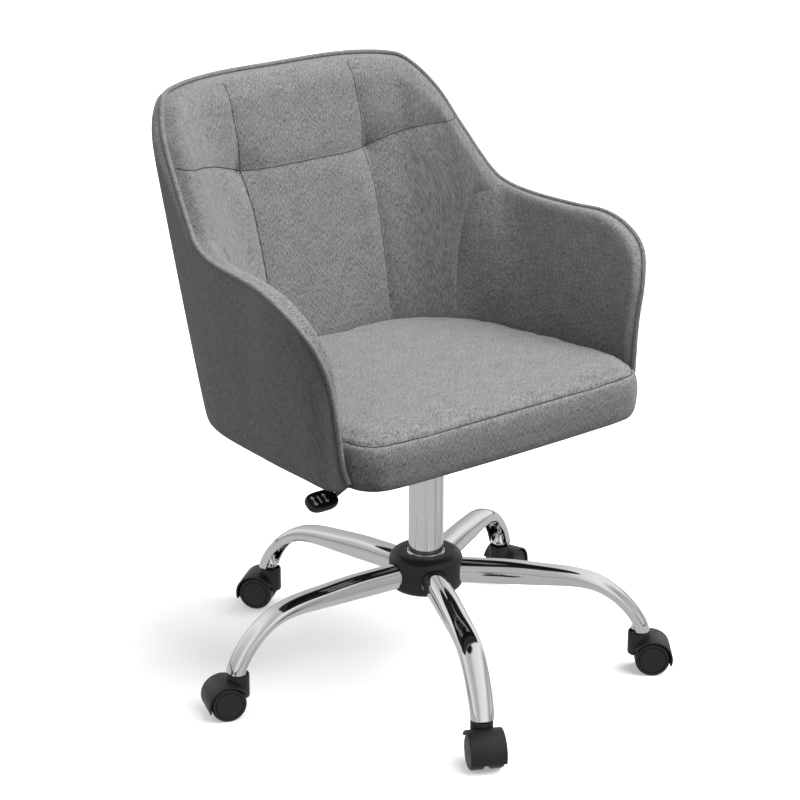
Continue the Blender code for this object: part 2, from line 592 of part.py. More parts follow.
# ---- shell and upholstery -----------------------------------------------------------------
class Shell:
    """Layered bucket shell, read at any sample along the rim and any depth below it."""

    def __init__(self, per_span):
        stations = np.array(SHELL_STATIONS, float) / 1000
        before = stations[1] * (-1, 1, 1, -1, 1, -1, 1, 1)
        after = 2 * stations[-1] - stations[-2]
        self.rows = _sampled(np.vstack([before, stations, after]), per_span)
        self.rim = self.rows[:, 0:3]
        height = np.minimum(PAD_FOOT_HEIGHT, SHELL_BOTTOM + 0.85 * (self.rim[:, 2] - SHELL_BOTTOM))
        self.foot = np.c_[self.rows[:, 3:5], np.full(len(self.rows), SHELL_BOTTOM)]
        self.pad_foot = np.c_[self.rows[:, 5:7], height]
        tangent = np.gradient(self.rows[:, 3:5], axis=0)
        normal = np.c_[-tangent[:, 1], tangent[:, 0]]
        self.out = self._flat_unit(normal * np.sign(normal[0, 1]))
        self.into = self._flat_unit(self.rows[:, 5:7] - self.rows[:, 3:5])

    @staticmethod
    def _flat_unit(vectors):
        unit = vectors / np.linalg.norm(vectors, axis=1)[:, None]
        return np.c_[unit, np.zeros(len(unit))]

    @staticmethod
    def _rounding(depth):
        reach = np.clip(depth / ROUND_EDGE, 0, 1)
        return np.sqrt(1 - (1 - reach) ** 2)

    def first(self):
        """Share of each column's drop at which the layers start, clear of the piping."""
        drop = self.foot - self.rim
        length = np.linalg.norm(drop, axis=1)
        along = np.gradient(self.rim, axis=0)
        crossing = np.linalg.norm(np.cross(along, drop), axis=1) / np.linalg.norm(along, axis=1) / length
        return np.minimum(PIPING_CLEARANCE / (length * crossing), 0.75)

    def outer(self, down):
        drop = self.foot - self.rim
        depth = np.linalg.norm(drop, axis=1) * down
        bulge = self.rows[:, 7] * self._rounding(depth) * np.clip((1 - down) / 0.9, 0, 1) ** 0.7
        return self.rim + drop * down[:, None] + self.out * bulge[:, None]

    def inner(self, down):
        """The pad's face: ruled with a crown down to the cushion, then straight down."""
        share = np.clip(down / PAD_SHARE, 0, 1)
        drop = self.pad_foot - self.rim
        depth = np.linalg.norm(drop, axis=1) * share
        crown = PAD_CROWN * self._rounding(depth) * np.clip((1 - share) / 0.45, 0, 1) ** 0.8
        crown = crown * np.clip((self.rim[:, 2] - 0.42) / 0.20, 0, 1)
        face = self.rim + drop * share[:, None] + self.into * crown[:, None]
        low = np.clip((down - PAD_SHARE) / (1 - PAD_SHARE), 0, 1)
        face[:, 2] += (SHELL_BOTTOM + 0.001 - self.pad_foot[:, 2]) * low
        return face

    def layer(self, step, fraction):
        """Points at one depth step (0 by the piping, 1 at the bottom) in every column."""
        start = self.first()
        down = start + (1 - start) * step
        outer, inner = self.outer(down), self.inner(down)
        return outer + (inner - outer) * fraction


def mirrored_rows(grid):
    """Left half, middle and right half of a row of right-half points."""
    left = [(-p[0], p[1], p[2]) for p in grid[:0:-1]]
    return left + [tuple(p) for p in grid]


def layer_mesh(name, shell, fractions, steps, first, last):
    """Closed solid between two depths of the shell: one ring of points for each column.

    From column 0 the solid runs round both sides; otherwise it is the left arm's alone.
    """
    near, far = fractions
    outside = [shell.layer(step, near)[first:last + 1] for step in steps]
    inside = [shell.layer(step, far)[first:last + 1] for step in steps]
    rings = []
    for k in range(len(outside[0])):
        rings.append([row[k] for row in outside] + [row[k] for row in reversed(inside)])
    if first > 0:
        rings[0] = [p + (q - p) * SEAM_GAP / np.linalg.norm(q - p) for p, q in zip(rings[0], rings[1])]
    else:
        left = [[np.array((-p[0], p[1], p[2])) for p in ring] for ring in reversed(rings[1:])]
        rings = left + rings
    return skinned(name, [[Vector(p) for p in ring] for ring in rings])


def plan_outline(shell, inset, front, side_end=CUSHION_SIDE_END):
    """The cushion's outline: along the pads, then round its own front corners."""
    radius = CUSHION_CORNER
    side = [(p[0] + n[0] * inset, p[1] + n[1] * inset)
            for p, n in zip(shell.pad_foot, shell.into) if p[1] > side_end]
    half = CUSHION_FRONT_HALF_WIDTH - inset
    corner = [(half - radius + radius * cos(a), front + radius - radius * sin(a))
              for a in (radians(d) for d in (0, 22, 45, 68, 90))]
    right = side + corner
    bow = CUSHION_BOW
    middle = [(0.10, front - 0.8 * bow), (0.0, front - bow), (-0.10, front - 0.8 * bow)]
    left = [(-x, y) for x, y in reversed(right[1:])]
    return right + middle + left


def cushion_mesh(shell):
    rings = []
    levels = ((CUSHION_LIP, 0.010), (CUSHION_LIP + 0.006, 0.003), (0.405, 0.0), (0.436, 0.0), (0.450, 0.005),
              (0.459, 0.018), (0.465, 0.045), (0.469, 0.100))
    for z, inset in levels:
        outline = plan_outline(shell, CUSHION_GAP + inset, CUSHION_FRONT + inset)
        rings.append([Vector((x, y, z)) for x, y in outline])
    solid = skinned("seat_cushion.body", rings)
    low, high = (-0.30, CUSHION_LIP_BACK, CUSHION_LIP - 0.01), (0.30, 0.30, CUSHION_BOTTOM)
    recess = box("seat_cushion.recess", low, high)
    return combined(solid, [("DIFFERENCE", recess)], "seat_cushion")


def bolt_places():
    x, y = BOLT_SPACING[0] / 2, BOLT_SPACING[1] / 2
    return [(sx * x, sy * y) for sx in (-1, 1) for sy in (-1, 1)]


def bolt_tools(name, radius, low, high):
    tools = []
    for x, y in bolt_places():
        tool = turned(name, ((0, low), (radius, low), (radius, high), (0, high)), SMALL)
        tool.transform(Matrix.Translation((x, y, 0)))
        tools.append(("DIFFERENCE", tool))
    return tools


def seat_plate_mesh():
    plate = box("seat_plate.flat", (-0.095, -0.085, PLATE_BOTTOM), (0.095, 0.085, PLATE_TOP))
    operations = []
    for side in (-1, 1):
        x0, x1 = sorted((side * 0.0365, side * 0.0400))
        top, low = PLATE_BOTTOM + 0.001, PIVOT_Z - 0.009
        ear = [(x0, PIVOT_Y + y, z) for y, z in ((-0.022, top), (0.022, top), (0.014, low), (-0.014, low))]
        operations.append(("UNION", extruded("seat_plate.ear", ear, (x1 - x0, 0, 0))))
    operations.append(("DIFFERENCE", disc_prism("seat_plate.pin", PIN_RADIUS + RUNNING, 0.05,
                                                (0, PIVOT_Y, PIVOT_Z))))
    operations += bolt_tools("seat_plate.hole", 0.0033, PLATE_BOTTOM - 0.001, PLATE_TOP + 0.001)
    return combined(plate, operations, "seat_plate")


def make_seat(column):
    cloth = (GREY_CLOTH, 0.0, 0.9)
    dark = (DARK_CLOTH, 0.0, 0.9)
    steel = (STEEL, 1.0, 0.4)
    zinc = (ZINC, 1.0, 0.35)
    seat = empty("seat_tilt_axis", (0, PIVOT_Y, PIVOT_Z), column)
    back = (0, -PIVOT_Y, -PIVOT_Z)
    shell = Shell(SHELL_SAMPLES)
    add_mesh("seat_plate", seat_plate_mesh(), steel, seat, back)
    bolt = turned("seat_bolt", ((0, PLATE_BOTTOM - GAP - 0.004), (0.0058, PLATE_BOTTOM - GAP - 0.004),
                                (0.0058, PLATE_BOTTOM - GAP), (0.003, PLATE_BOTTOM - GAP), (0.003, 0.3838),
                                (0, 0.3838)), SMALL)
    for k, (x, y) in enumerate(bolt_places()):
        add_mesh(f"seat_bolt_{k + 1}", bolt.copy(), zinc, seat, (back[0] + x, back[1] + y, back[2]))
    outline = plan_outline(shell, 0.008, CUSHION_LIP_BACK + 0.006, BOARD_SIDE_END)
    board = extruded("seat_board.flat", [(x * 0.97, y, BOARD_BOTTOM) for x, y in outline],
                     (0, 0, BOARD_TOP - BOARD_BOTTOM))
    holes = bolt_tools("seat_board.hole", 0.0033, BOARD_BOTTOM - 0.001, BOARD_TOP - 0.0015)
    add_mesh("seat_board", combined(board, holes, "seat_board"), (PLY, 0.0, 0.6), seat, back)
    cover_outline = plan_outline(shell, 0.004, CUSHION_LIP_BACK + 0.007, BOARD_SIDE_END)
    cover = extruded("dust_cover.flat", [(x, y, PLATE_TOP + GAP) for x, y in cover_outline],
                     (0, 0, BOARD_BOTTOM - PLATE_TOP - 2 * GAP))
    holes = bolt_tools("dust_cover.hole", 0.0033, PLATE_TOP - 0.001, BOARD_BOTTOM + 0.001)
    add_mesh("dust_cover", combined(cover, holes, "dust_cover"), (BLACK, 0.0, 0.95), seat, back)
    add_mesh("seat_cushion", cushion_mesh(shell), cloth, seat, back)
    steps = (0.0, 0.03, 0.14, 0.48, 0.82, 1.0)
    join, end = PAD_JOIN * SHELL_SAMPLES, len(shell.rows) - 1
    layers = (("outer_shell", OUTER_COVER, steps, 0, end, dark),
              ("shell_frame", FRAME_LAYER, steps[2:], 0, FRAME_END * SHELL_SAMPLES, (PLY, 0.0, 0.6)),
              ("back_pad", PAD_LAYER, steps, 0, join, cloth),
              ("arm_pad_left", PAD_LAYER, steps, join, end, cloth))
    for name, fractions, rows, start, stop, look in layers:
        add_mesh(name, layer_mesh(name, shell, fractions, rows, start, stop), look, seat, back)
    right_arm = bpy.data.objects["arm_pad_left"].data.copy()
    right_arm.transform(Matrix.Scale(-1, 4, (1, 0, 0)))
    right_arm.flip_normals()
    add_mesh("arm_pad_right", right_arm, cloth, seat, back)
    rim = mirrored_rows(shell.rim)
    route = [Vector(p) + Vector(back) for p in rim]
    wire("piping", route, PIPING_RADIUS, cloth, seat)


# ---- the chair ----------------------------------------------------------------------------
def main():
    for old in list(bpy.data.objects):
        bpy.data.objects.remove(old)
    column = empty("column_axis", (*COLUMN, 0))
    make_base(column)
    make_casters(column)
    make_lift(column)
    make_mechanism(column)
    make_knob(column)
    make_lever(column)
    make_seat(column)
    bpy.context.view_layer.update()


main()
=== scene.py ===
"""Swivel office chair: the visible model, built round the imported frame.

Metres, +Z up, the seat's front towards -Y, the sitter's right at -X. Shapes are laid out from the
column's axis, and every piece rides on a body of the frame.
"""

import json
from collections import namedtuple
from math import cos, pi, radians, sin

import bmesh
import bpy
import numpy as np
from mathutils import Matrix, Vector
from mathutils.bvhtree import BVHTree


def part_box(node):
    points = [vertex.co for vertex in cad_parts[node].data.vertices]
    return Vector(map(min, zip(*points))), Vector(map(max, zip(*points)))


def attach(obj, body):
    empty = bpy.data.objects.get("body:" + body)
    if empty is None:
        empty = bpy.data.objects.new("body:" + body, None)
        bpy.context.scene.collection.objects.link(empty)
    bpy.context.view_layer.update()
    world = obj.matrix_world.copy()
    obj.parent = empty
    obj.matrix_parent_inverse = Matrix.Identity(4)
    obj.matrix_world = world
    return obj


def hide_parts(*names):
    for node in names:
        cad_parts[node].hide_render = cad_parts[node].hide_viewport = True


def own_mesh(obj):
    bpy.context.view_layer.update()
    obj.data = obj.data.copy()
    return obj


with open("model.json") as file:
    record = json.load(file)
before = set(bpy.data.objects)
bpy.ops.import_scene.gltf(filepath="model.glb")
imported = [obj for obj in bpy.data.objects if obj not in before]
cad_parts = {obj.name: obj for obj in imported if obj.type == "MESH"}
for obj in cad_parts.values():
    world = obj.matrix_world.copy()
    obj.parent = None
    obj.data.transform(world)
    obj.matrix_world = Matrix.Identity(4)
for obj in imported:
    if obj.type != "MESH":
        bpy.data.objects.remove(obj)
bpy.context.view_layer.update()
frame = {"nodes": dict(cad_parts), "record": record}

TUBE_LOW, TUBE_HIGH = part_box("column_tube")
COLUMN = Vector(((TUBE_LOW[0] + TUBE_HIGH[0]) / 2, (TUBE_LOW[1] + TUBE_HIGH[1]) / 2, 0))

# ---- view ---------------------------------------------------------------------------------
VIEW_AZIMUTH, VIEW_ELEVATION = -38.4, 20.25
VIEW_DISTANCE = 3.5
VIEW_AIM = (-0.047, 0.0, 0.4143)      # from the column's foot
LENS, SENSOR = 114.3, 36.0

# ---- light --------------------------------------------------------------------------------
SOFTBOX_FROM, SOFTBOX_SPREAD, SOFTBOX_STRENGTH = (0.48, -0.50, 1.05), 64, 6.9
REAR_FROM, REAR_SPREAD, REAR_STRENGTH = (-0.7, 0.9, 0.7), 90, 1.4
FLOOR_LIFT = 0.32                     # keeps the floor's shadows faint; it lights nothing else
PANEL_LEAN, PANEL_EDGE = -0.15, 0.991  # dark ceiling panel: lean towards the camera, edge of its disc
SKY, GROUND = 0.36, 0.20              # ambient light from above and from below

# ---- base ---------------------------------------------------------------------------------
STEM_CIRCLE = 0.305
FIRST_LEG_ANGLE = 101.2
LEG_COUNT = 5
CASTER_TRAIL_ANGLES = (128.0, 160.0, 243.0, 322.0, 20.0)
LEG_WALL = 0.0018
# leg centre line: radius, height, half width, half height, tilt of the section, half slot underneath
LEG_STATIONS = (
    (0.0450, 0.1480, 0.0175, 0.0178, 90, 0.0),
    (0.1140, 0.1470, 0.0175, 0.0174, 89, 0.0),
    (0.1600, 0.1450, 0.0175, 0.0155, 87, 0.0),
    (0.2100, 0.1420, 0.0175, 0.0128, 80, 0.0),
    (0.2430, 0.1345, 0.0175, 0.0108, 67, 0.35),
    (0.2700, 0.1180, 0.0172, 0.0098, 51, 0.80),
    (0.2910, 0.0960, 0.0168, 0.0104, 36, 0.95),
    (0.3030, 0.0770, 0.0165, 0.0116, 18, 1.00),
    (0.3080, 0.0645, 0.0163, 0.0124, 0, 1.00),
)
WHEEL_RADIUS = 0.025
WHEEL_WIDTH = 0.0195
CASTER_WIDTH = 0.050
WEB_THICKNESS = 0.0076
CASTER_TRAIL = 0.019
HOOD_RADIUS = 0.029

# ---- lever --------------------------------------------------------------------------------
PADDLE_HALF = (0.0235, 0.0150, 0.0063)
PADDLE_TILT = 30
PADDLE_DISH = 0.0009                  # hollow of the top face

# ---- tilt spring --------------------------------------------------------------------------
SPRING_RADIUS, SPRING_WIRE, SPRING_TURNS = 0.0095, 0.0016, 4

# ---- shell --------------------------------------------------------------------------------
SHELL_BOTTOM = 0.375
HEM_EDGE = 0.0035                     # rounding of the outer cover's hem
PAD_FOOT_HEIGHT = 0.450
ROUND_EDGE = 0.022
PAD_LOW = 0.420                       # rim height at which the arms' padding has run out
BACK_TO_ARM = (4.5, 7.5)              # stations between which the back's padding turns into the arm's
PAD_CROWNS = (0.036, 0.025)           # how far the pads stand out: back, arms
PAD_EDGES = (0.036, 0.018)            # depth over which they round out
PAD_ROLLS = (0.002, 0.007)            # rise of the padding just inside the piping
WELT_GROOVE = 0.0030                  # dip of the pads beside the piping
PAD_SHARE = 0.83
PIPING_RADIUS = 0.0036
SHELL_STATIONS = (
    (0, 352, 817, 0, 246, 0, 211, 14),
    (112, 348, 817, 90, 246, 82, 209, 16),
    (185, 335, 811, 155, 239, 130, 193, 18),
    (215, 315, 800, 200, 224, 163, 166, 19),
    (240, 277, 762, 229, 203, 188, 138, 17),
    (252, 234, 712, 246, 176, 203, 110, 11),
    (264, 182, 657, 257, 145, 211, 85, 7),
    (272, 151, 638, 262, 115, 216, 62, 4),
    (281, 100, 630, 265, 80, 221, 42, 3),
    (290, 25, 629, 268, 25, 229, 10, 3),
    (300, -30, 629, 270, -25, 238, -35, 3),
    (302, -74, 618, 270, -70, 245, -75, 3),
    (296, -112, 595, 271, -105, 249, -105, 2),
    (280, -133, 555, 270, -124, 250, -121, 1),
    (265, -139, 495, 266, -134, 250, -129, 0),
    (256, -144, 417, 261, -139, 250, -133, 0),
    (250, -150, 388, 256, -142, 249, -136, 0),
)
ROW_STEP = 0.0035                     # spacing of the shell's mesh
SIDE_SEAM_TOP, SIDE_SEAM_FOOT = 6.55, 3.6   # station of the seam between back and arm
BACK_SEAM_X, BACK_SEAM_Z = 0.109, 0.690
BACK_SEAM_LEAN = 0.025                # how much closer the upright seams come per metre of drop
BACK_SEAM_RISE = 0.036                # how far the cross seam climbs by the time it meets the rim
STATION_WIDTH = 0.045                 # rough width of one station at the side seam
# how sewn lines draw the padding in: soft depth and reach, sharp depth and reach
TUFT_PULL = (0.0095, 0.034, 0.0040, 0.0100)
UPRIGHT_PULL = (0.0032, 0.016, 0.0030, 0.0035)
CROSS_PULL = (0.0014, 0.014, 0.0022, 0.0032)
SIDE_PULL = (0.0010, 0.012, 0.0028, 0.0028)
THREAD_RADIUS, THREAD_SINK = 0.0007, 0.0002

# ---- cushion ------------------------------------------------------------------------------
CUSHION_FRONT = -0.1875
CUSHION_HALF_WIDTH = 0.2495
CUSHION_CORNER = 0.042
CUSHION_LIP, CUSHION_SEAT = 0.3715, 0.3866
CUSHION_LIP_BACK = -0.1300
CUSHION_SEAM_Z = 0.4415
CUSHION_CROWN_Z = 0.4610
CUSHION_TUCK = 0.0045                 # how far its sides press into the pads


# ---- materials ----------------------------------------------------------------------------
class Look:
    """A Principled material with short names for adding nodes."""

    def __init__(self, name):
        self.material = bpy.data.materials.new(name)
        self.material.use_nodes = True
        self.tree = self.material.node_tree
        self.shader = self.tree.nodes["Principled BSDF"]

    def node(self, kind, **settings):
        made = self.tree.nodes.new("ShaderNode" + kind)
        for key, value in settings.items():
            setattr(made, key, value)
        return made

    def link(self, source, target):
        self.tree.links.new(source, target)

    def set(self, **values):
        for key, value in values.items():
            self.shader.inputs[key.replace("_", " ").title().replace("Ior", "IOR")].default_value = value

    def coordinates(self, kind, scale):
        place = self.node("Mapping")
        place.inputs["Scale"].default_value = scale
        self.link(self.node("TexCoord").outputs[kind], place.inputs["Vector"])
        return place.outputs["Vector"]

    def noise(self, kind, scale, detail=2.0, size=1.0, flat=False):
        made = self.node("TexNoise", noise_dimensions="2D" if flat else "3D")
        made.inputs["Scale"].default_value = size
        made.inputs["Detail"].default_value = detail
        self.link(self.coordinates(kind, scale), made.inputs["Vector"])
        return made.outputs["Fac"]

    def math(self, operation, first, second):
        made = self.node("Math", operation=operation)
        for socket, value in zip(made.inputs, (first, second)):
            if isinstance(value, (int, float)):
                socket.default_value = value
            else:
                self.link(value, socket)
        return made.outputs[0]

    def ramp(self, value, *stops):
        made = self.node("ValToRGB")
        elements = made.color_ramp.elements
        while len(elements) < len(stops):
            elements.new(0.5)
        for element, (place, colour) in zip(elements, stops):
            element.position = place
            element.color = (*colour, 1) if len(colour) == 3 else colour
        self.link(value, made.inputs["Fac"])
        return made.outputs["Color"]

    def bump(self, height, strength, distance):
        made = self.node("Bump")
        made.inputs["Strength"].default_value = strength
        made.inputs["Distance"].default_value = distance
        self.link(height, made.inputs["Height"])
        self.link(made.outputs["Normal"], self.shader.inputs["Normal"])


def grey(value, tint=0.0):
    return (value, value, value * (1 + tint))


def cloth(name, dark, light, yarn=0.0009):
    """Linen-look weave: yarn in two directions, flecked along its length. Reads the UV map in metres."""
    look = Look(name)
    warp = look.noise("UV", (1 / yarn, 1 / (yarn * 6), 1), 2.0, flat=True)
    weft = look.noise("UV", (1 / (yarn * 4), 1 / yarn, 1), 1.0, flat=True)
    patch = look.noise("UV", (45, 45, 1), 2.0, flat=True)
    fleck = look.math("ADD", look.math("MULTIPLY", warp, 0.62), look.math("MULTIPLY", weft, 0.38))
    tone = look.math("ADD", fleck, look.math("MULTIPLY", look.math("SUBTRACT", patch, 0.5), 0.10))
    colour = look.ramp(tone, (0.37, grey(dark, 0.01)), (0.5, grey((dark + light) / 2)), (0.63, grey(light)))
    look.link(colour, look.shader.inputs["Base Color"])
    pitch = pi / yarn
    split = look.node("SeparateXYZ")
    look.link(look.coordinates("UV", (pitch, pitch, 1)), split.inputs["Vector"])
    across = look.math("SINE", split.outputs["X"], 0)
    along = look.math("SINE", split.outputs["Y"], 0)
    weave = look.math("MULTIPLY", across, along)
    height = look.math("ADD", look.math("MULTIPLY", weave, 0.35), look.math("MULTIPLY", fleck, 2.2))
    look.bump(height, 0.55, 0.0005)
    look.set(roughness=0.92, sheen_weight=0.18, sheen_roughness=0.45, specular_ior_level=0.18)
    return look.material


def chrome(name, tone=0.80):
    look = Look(name)
    smudge = look.noise("Object", (14, 14, 14), 3.0)
    look.link(look.ramp(smudge, (0.3, grey(tone * 0.96, 0.01)), (0.7, grey(tone, 0.01))),
              look.shader.inputs["Base Color"])
    look.link(look.ramp(smudge, (0.35, grey(0.035)), (0.7, grey(0.065))), look.shader.inputs["Roughness"])
    look.bump(look.noise("Object", (22, 22, 22), 1.0), 0.05, 0.002)
    look.set(metallic=1.0)
    return look.material


def plastic(name, tone, roughness, grain=2600.0, relief=0.25):
    look = Look(name)
    cloudy = look.noise("Object", (60, 60, 60), 3.0)
    look.link(look.ramp(cloudy, (0.3, grey(tone * 0.85, 0.04)), (0.7, grey(tone * 1.15, 0.04))),
              look.shader.inputs["Base Color"])
    low, high = roughness - 0.05, roughness + 0.07
    look.link(look.ramp(cloudy, (0.3, grey(low)), (0.7, grey(high))), look.shader.inputs["Roughness"])
    look.bump(look.noise("Object", (grain, grain, grain), 2.0), relief, 0.0002)
    return look.material


def metal(name, tone, roughness, brushed):
    look = Look(name)
    lines = look.noise("Object", brushed, 4.0)
    look.link(look.ramp(lines, (0.3, grey(tone * 0.85)), (0.7, grey(tone))),
              look.shader.inputs["Base Color"])
    look.link(look.ramp(lines, (0.3, grey(roughness * 0.8)), (0.7, grey(roughness * 1.25))),
              look.shader.inputs["Roughness"])
    look.bump(lines, 0.12, 0.0003)
    look.set(metallic=1.0)
    return look.material


def plywood(name):
    look = Look(name)
    grain = look.noise("Object", (9, 120, 160), 5.0)
    look.link(look.ramp(grain, (0.3, (0.36, 0.22, 0.11)), (0.55, (0.52, 0.35, 0.19)),
                        (0.75, (0.62, 0.45, 0.27))),
              look.shader.inputs["Base Color"])
    look.bump(grain, 0.3, 0.0006)
    look.set(roughness=0.6)
    return look.material


def felt(name):
    look = Look(name)
    fibres = look.noise("Object", (900, 900, 900), 4.0)
    look.link(look.ramp(fibres, (0.3, grey(0.008)), (0.7, grey(0.022))), look.shader.inputs["Base Color"])
    look.bump(fibres, 0.5, 0.0006)
    look.set(roughness=0.95)
    return look.material


CLOTH = cloth("seat_cloth", 0.070, 0.225)
OUTER_CLOTH = cloth("outer_cloth", 0.070, 0.215)
# Seam thread whose dark tone is painted shade: far darker than the cloth, it draws the groove's dark line
# along each seam.
SEAM_THREAD_PAINTED_SHADE = plastic("seam_thread_painted_shade", 0.035, 0.8, 4000.0, 0.5)
CHROME = chrome("chrome_tube")
LEG_INSIDE = metal("leg_inside", 0.05, 0.55, (90, 90, 90))
BLACK = plastic("black_plastic", 0.008, 0.42)
GLOSS_BLACK = plastic("black_plastic_gloss", 0.009, 0.22, 1200.0, 0.05)
PRINT = plastic("white_print", 0.85, 0.5)
SLOT_LOOKS = {
    "chrome_tube": CHROME,
    "black_plastic": BLACK,
    "seat_cloth": CLOTH,
    "outer_cloth": OUTER_CLOTH,
    "frame_ply": plywood("frame_ply"),
    "steel_part": metal("steel_part", 0.45, 0.30, (40, 40, 900)),
    "painted_steel": plastic("painted_steel", 0.016, 0.48, 700.0, 0.3),
    "zinc_bolt": metal("zinc_bolt", 0.60, 0.34, (500, 500, 500)),
    "base_cloth": felt("base_cloth"),
}


def dress_frame():
    """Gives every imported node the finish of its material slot."""
    for part in frame["record"]["subparts"]:
        node = frame["nodes"][part["node"]]
        look = SLOT_LOOKS[part["material_slot"]]
        node.data.materials.clear()
        node.data.materials.append(look)


# ---- mesh helpers -------------------------------------------------------------------------
def piece(name, mesh, look, body, stands_for=()):
    made = bpy.data.objects.new(name, mesh)
    bpy.context.scene.collection.objects.link(made)
    mesh.materials.clear()
    mesh.materials.append(look)
    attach(made, body)
    if stands_for:
        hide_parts(*stands_for)
    return made


def smooth(mesh, angle=40):
    mesh.shade_smooth()
    mesh.set_sharp_from_angle(angle=radians(angle))
    return mesh


def lofted(name, rings, sharp=40):
    """A closed skin over rings of equally many points, with a UV map measured along and round it."""
    rings = np.asarray(rings, float)
    n, m = rings.shape[:2]
    wrapped = np.concatenate([rings, rings[:, :1]], axis=1)
    along = np.linalg.norm(np.diff(wrapped, axis=0), axis=2)
    around = np.linalg.norm(np.diff(wrapped, axis=1), axis=2)
    u = np.concatenate([np.zeros((1, m + 1)), np.cumsum(along, axis=0)])
    u = u - u[n // 2]
    v = np.concatenate([np.zeros((n, 1)), np.cumsum(around, axis=1)], axis=1)
    faces, uvs = [], []
    for i in range(n - 1):
        for j in range(m):
            w = (j + 1) % m
            faces.append((i * m + j, i * m + w, (i + 1) * m + w, (i + 1) * m + j))
            uvs += [(u[c], v[c]) for c in ((i, j), (i, j + 1), (i + 1, j + 1), (i + 1, j))]
    for row in (0, n - 1):
        faces.append(tuple(row * m + j for j in range(m)))
        uvs += [(p[0], p[2]) for p in rings[row]]
    mesh = bpy.data.meshes.new(name)
    mesh.from_pydata(rings.reshape(-1, 3).tolist(), [], faces)
    layer = mesh.uv_layers.new(name="cloth")
    layer.data.foreach_set("uv", np.asarray(uvs, float).ravel())
    bm = bmesh.new()
    bm.from_mesh(mesh)
    bmesh.ops.recalc_face_normals(bm, faces=bm.faces)
    bm.to_mesh(mesh)
    bm.free()
    return smooth(mesh, sharp)


def turned(name, profile, segments=64, axis="Z", sharp=30):
    """A closed (radius, height) outline spun about Z or X."""
    bm = bmesh.new()
    along = Vector((0, 0, 1)) if axis == "Z" else Vector((1, 0, 0))
    outward = Vector((1, 0, 0)) if axis == "Z" else Vector((0, 0, 1))
    verts = [bm.verts.new(outward * r + along * h) for r, h in profile]
    edges = [bm.edges.new((verts[i], verts[(i + 1) % len(verts)])) for i in range(len(verts))]
    spun = [e for e in edges if max(v.co.cross(along).length for v in e.verts) > 1e-7]
    bmesh.ops.spin(bm, geom=verts + spun, axis=along, cent=(0, 0, 0), angle=2 * pi, steps=segments,
                   use_merge=True)
    bmesh.ops.delete(bm, geom=[e for e in bm.edges if not e.link_faces], context="EDGES")
    bmesh.ops.remove_doubles(bm, verts=bm.verts, dist=1e-6)
    bmesh.ops.recalc_face_normals(bm, faces=bm.faces)
    mesh = bpy.data.meshes.new(name)
    bm.to_mesh(mesh)
    bm.free()
    return smooth(mesh, sharp)


def moved(mesh, matrix):
    mesh.transform(matrix)
    return mesh


def boolean(mesh, operations, name, sharp=35):
    body = bpy.data.objects.new(name, mesh)
    bpy.context.scene.collection.objects.link(body)
    tools = []
    for operation, tool_mesh in operations:
        tool = bpy.data.objects.new(name + ".tool", tool_mesh)
        bpy.context.scene.collection.objects.link(tool)
        tools.append(tool)
        modifier = body.modifiers.new(operation, "BOOLEAN")
        modifier.operation = operation
        modifier.object = tool
    bpy.context.view_layer.update()
    result = bpy.data.meshes.new_from_object(body.evaluated_get(bpy.context.evaluated_depsgraph_get()))
    for made in tools + [body]:
        bpy.data.objects.remove(made)
    result.name = name
    return smooth(result, sharp)


def tube(name, path, radius, sides=12, sharp=60):
    """A closed tube along a list of points, kept from twisting."""
    points = [Vector(p) for p in path]
    rings, side = [], None
    for k, here in enumerate(points):
        ahead = (points[min(k + 1, len(points) - 1)] - points[max(k - 1, 0)]).normalized()
        if side is None:
            side = ahead.orthogonal().normalized()
        side = (side - ahead * side.dot(ahead)).normalized()
        other = ahead.cross(side)
        rings.append([here + (side * cos(2 * pi * j / sides) + other * sin(2 * pi * j / sides)) * radius
                      for j in range(sides)])
    return lofted(name, rings, sharp=sharp)


def catmull(rows, s):
    """Catmull-Rom through rows (one spare row at each end), read at stations s."""
    last = len(rows) - 3
    s = np.clip(np.asarray(s, float), 0, last)
    i = np.minimum(s.astype(int), last - 1)
    t = (s - i)[..., None]
    a, b, c, d = rows[i], rows[i + 1], rows[i + 2], rows[i + 3]
    return 0.5 * (2 * b + (c - a) * t + (2 * a - 5 * b + 4 * c - d) * t ** 2
                  + (3 * b - a - 3 * c + d) * t ** 3)


def fell(distance, reach):
    return np.exp(-(distance / reach) ** 2)


def pull(distance, soft, soft_reach, sharp, sharp_reach):
    """How far a sewn line draws the padding in: a wide soft hollow with a narrow crease along it."""
    return soft * fell(distance, soft_reach) + sharp * np.exp(-np.abs(distance) / sharp_reach)


# ---- shell and upholstery -----------------------------------------------------------------
Section = namedtuple("Section", "rim foot pad_foot out into bulge")


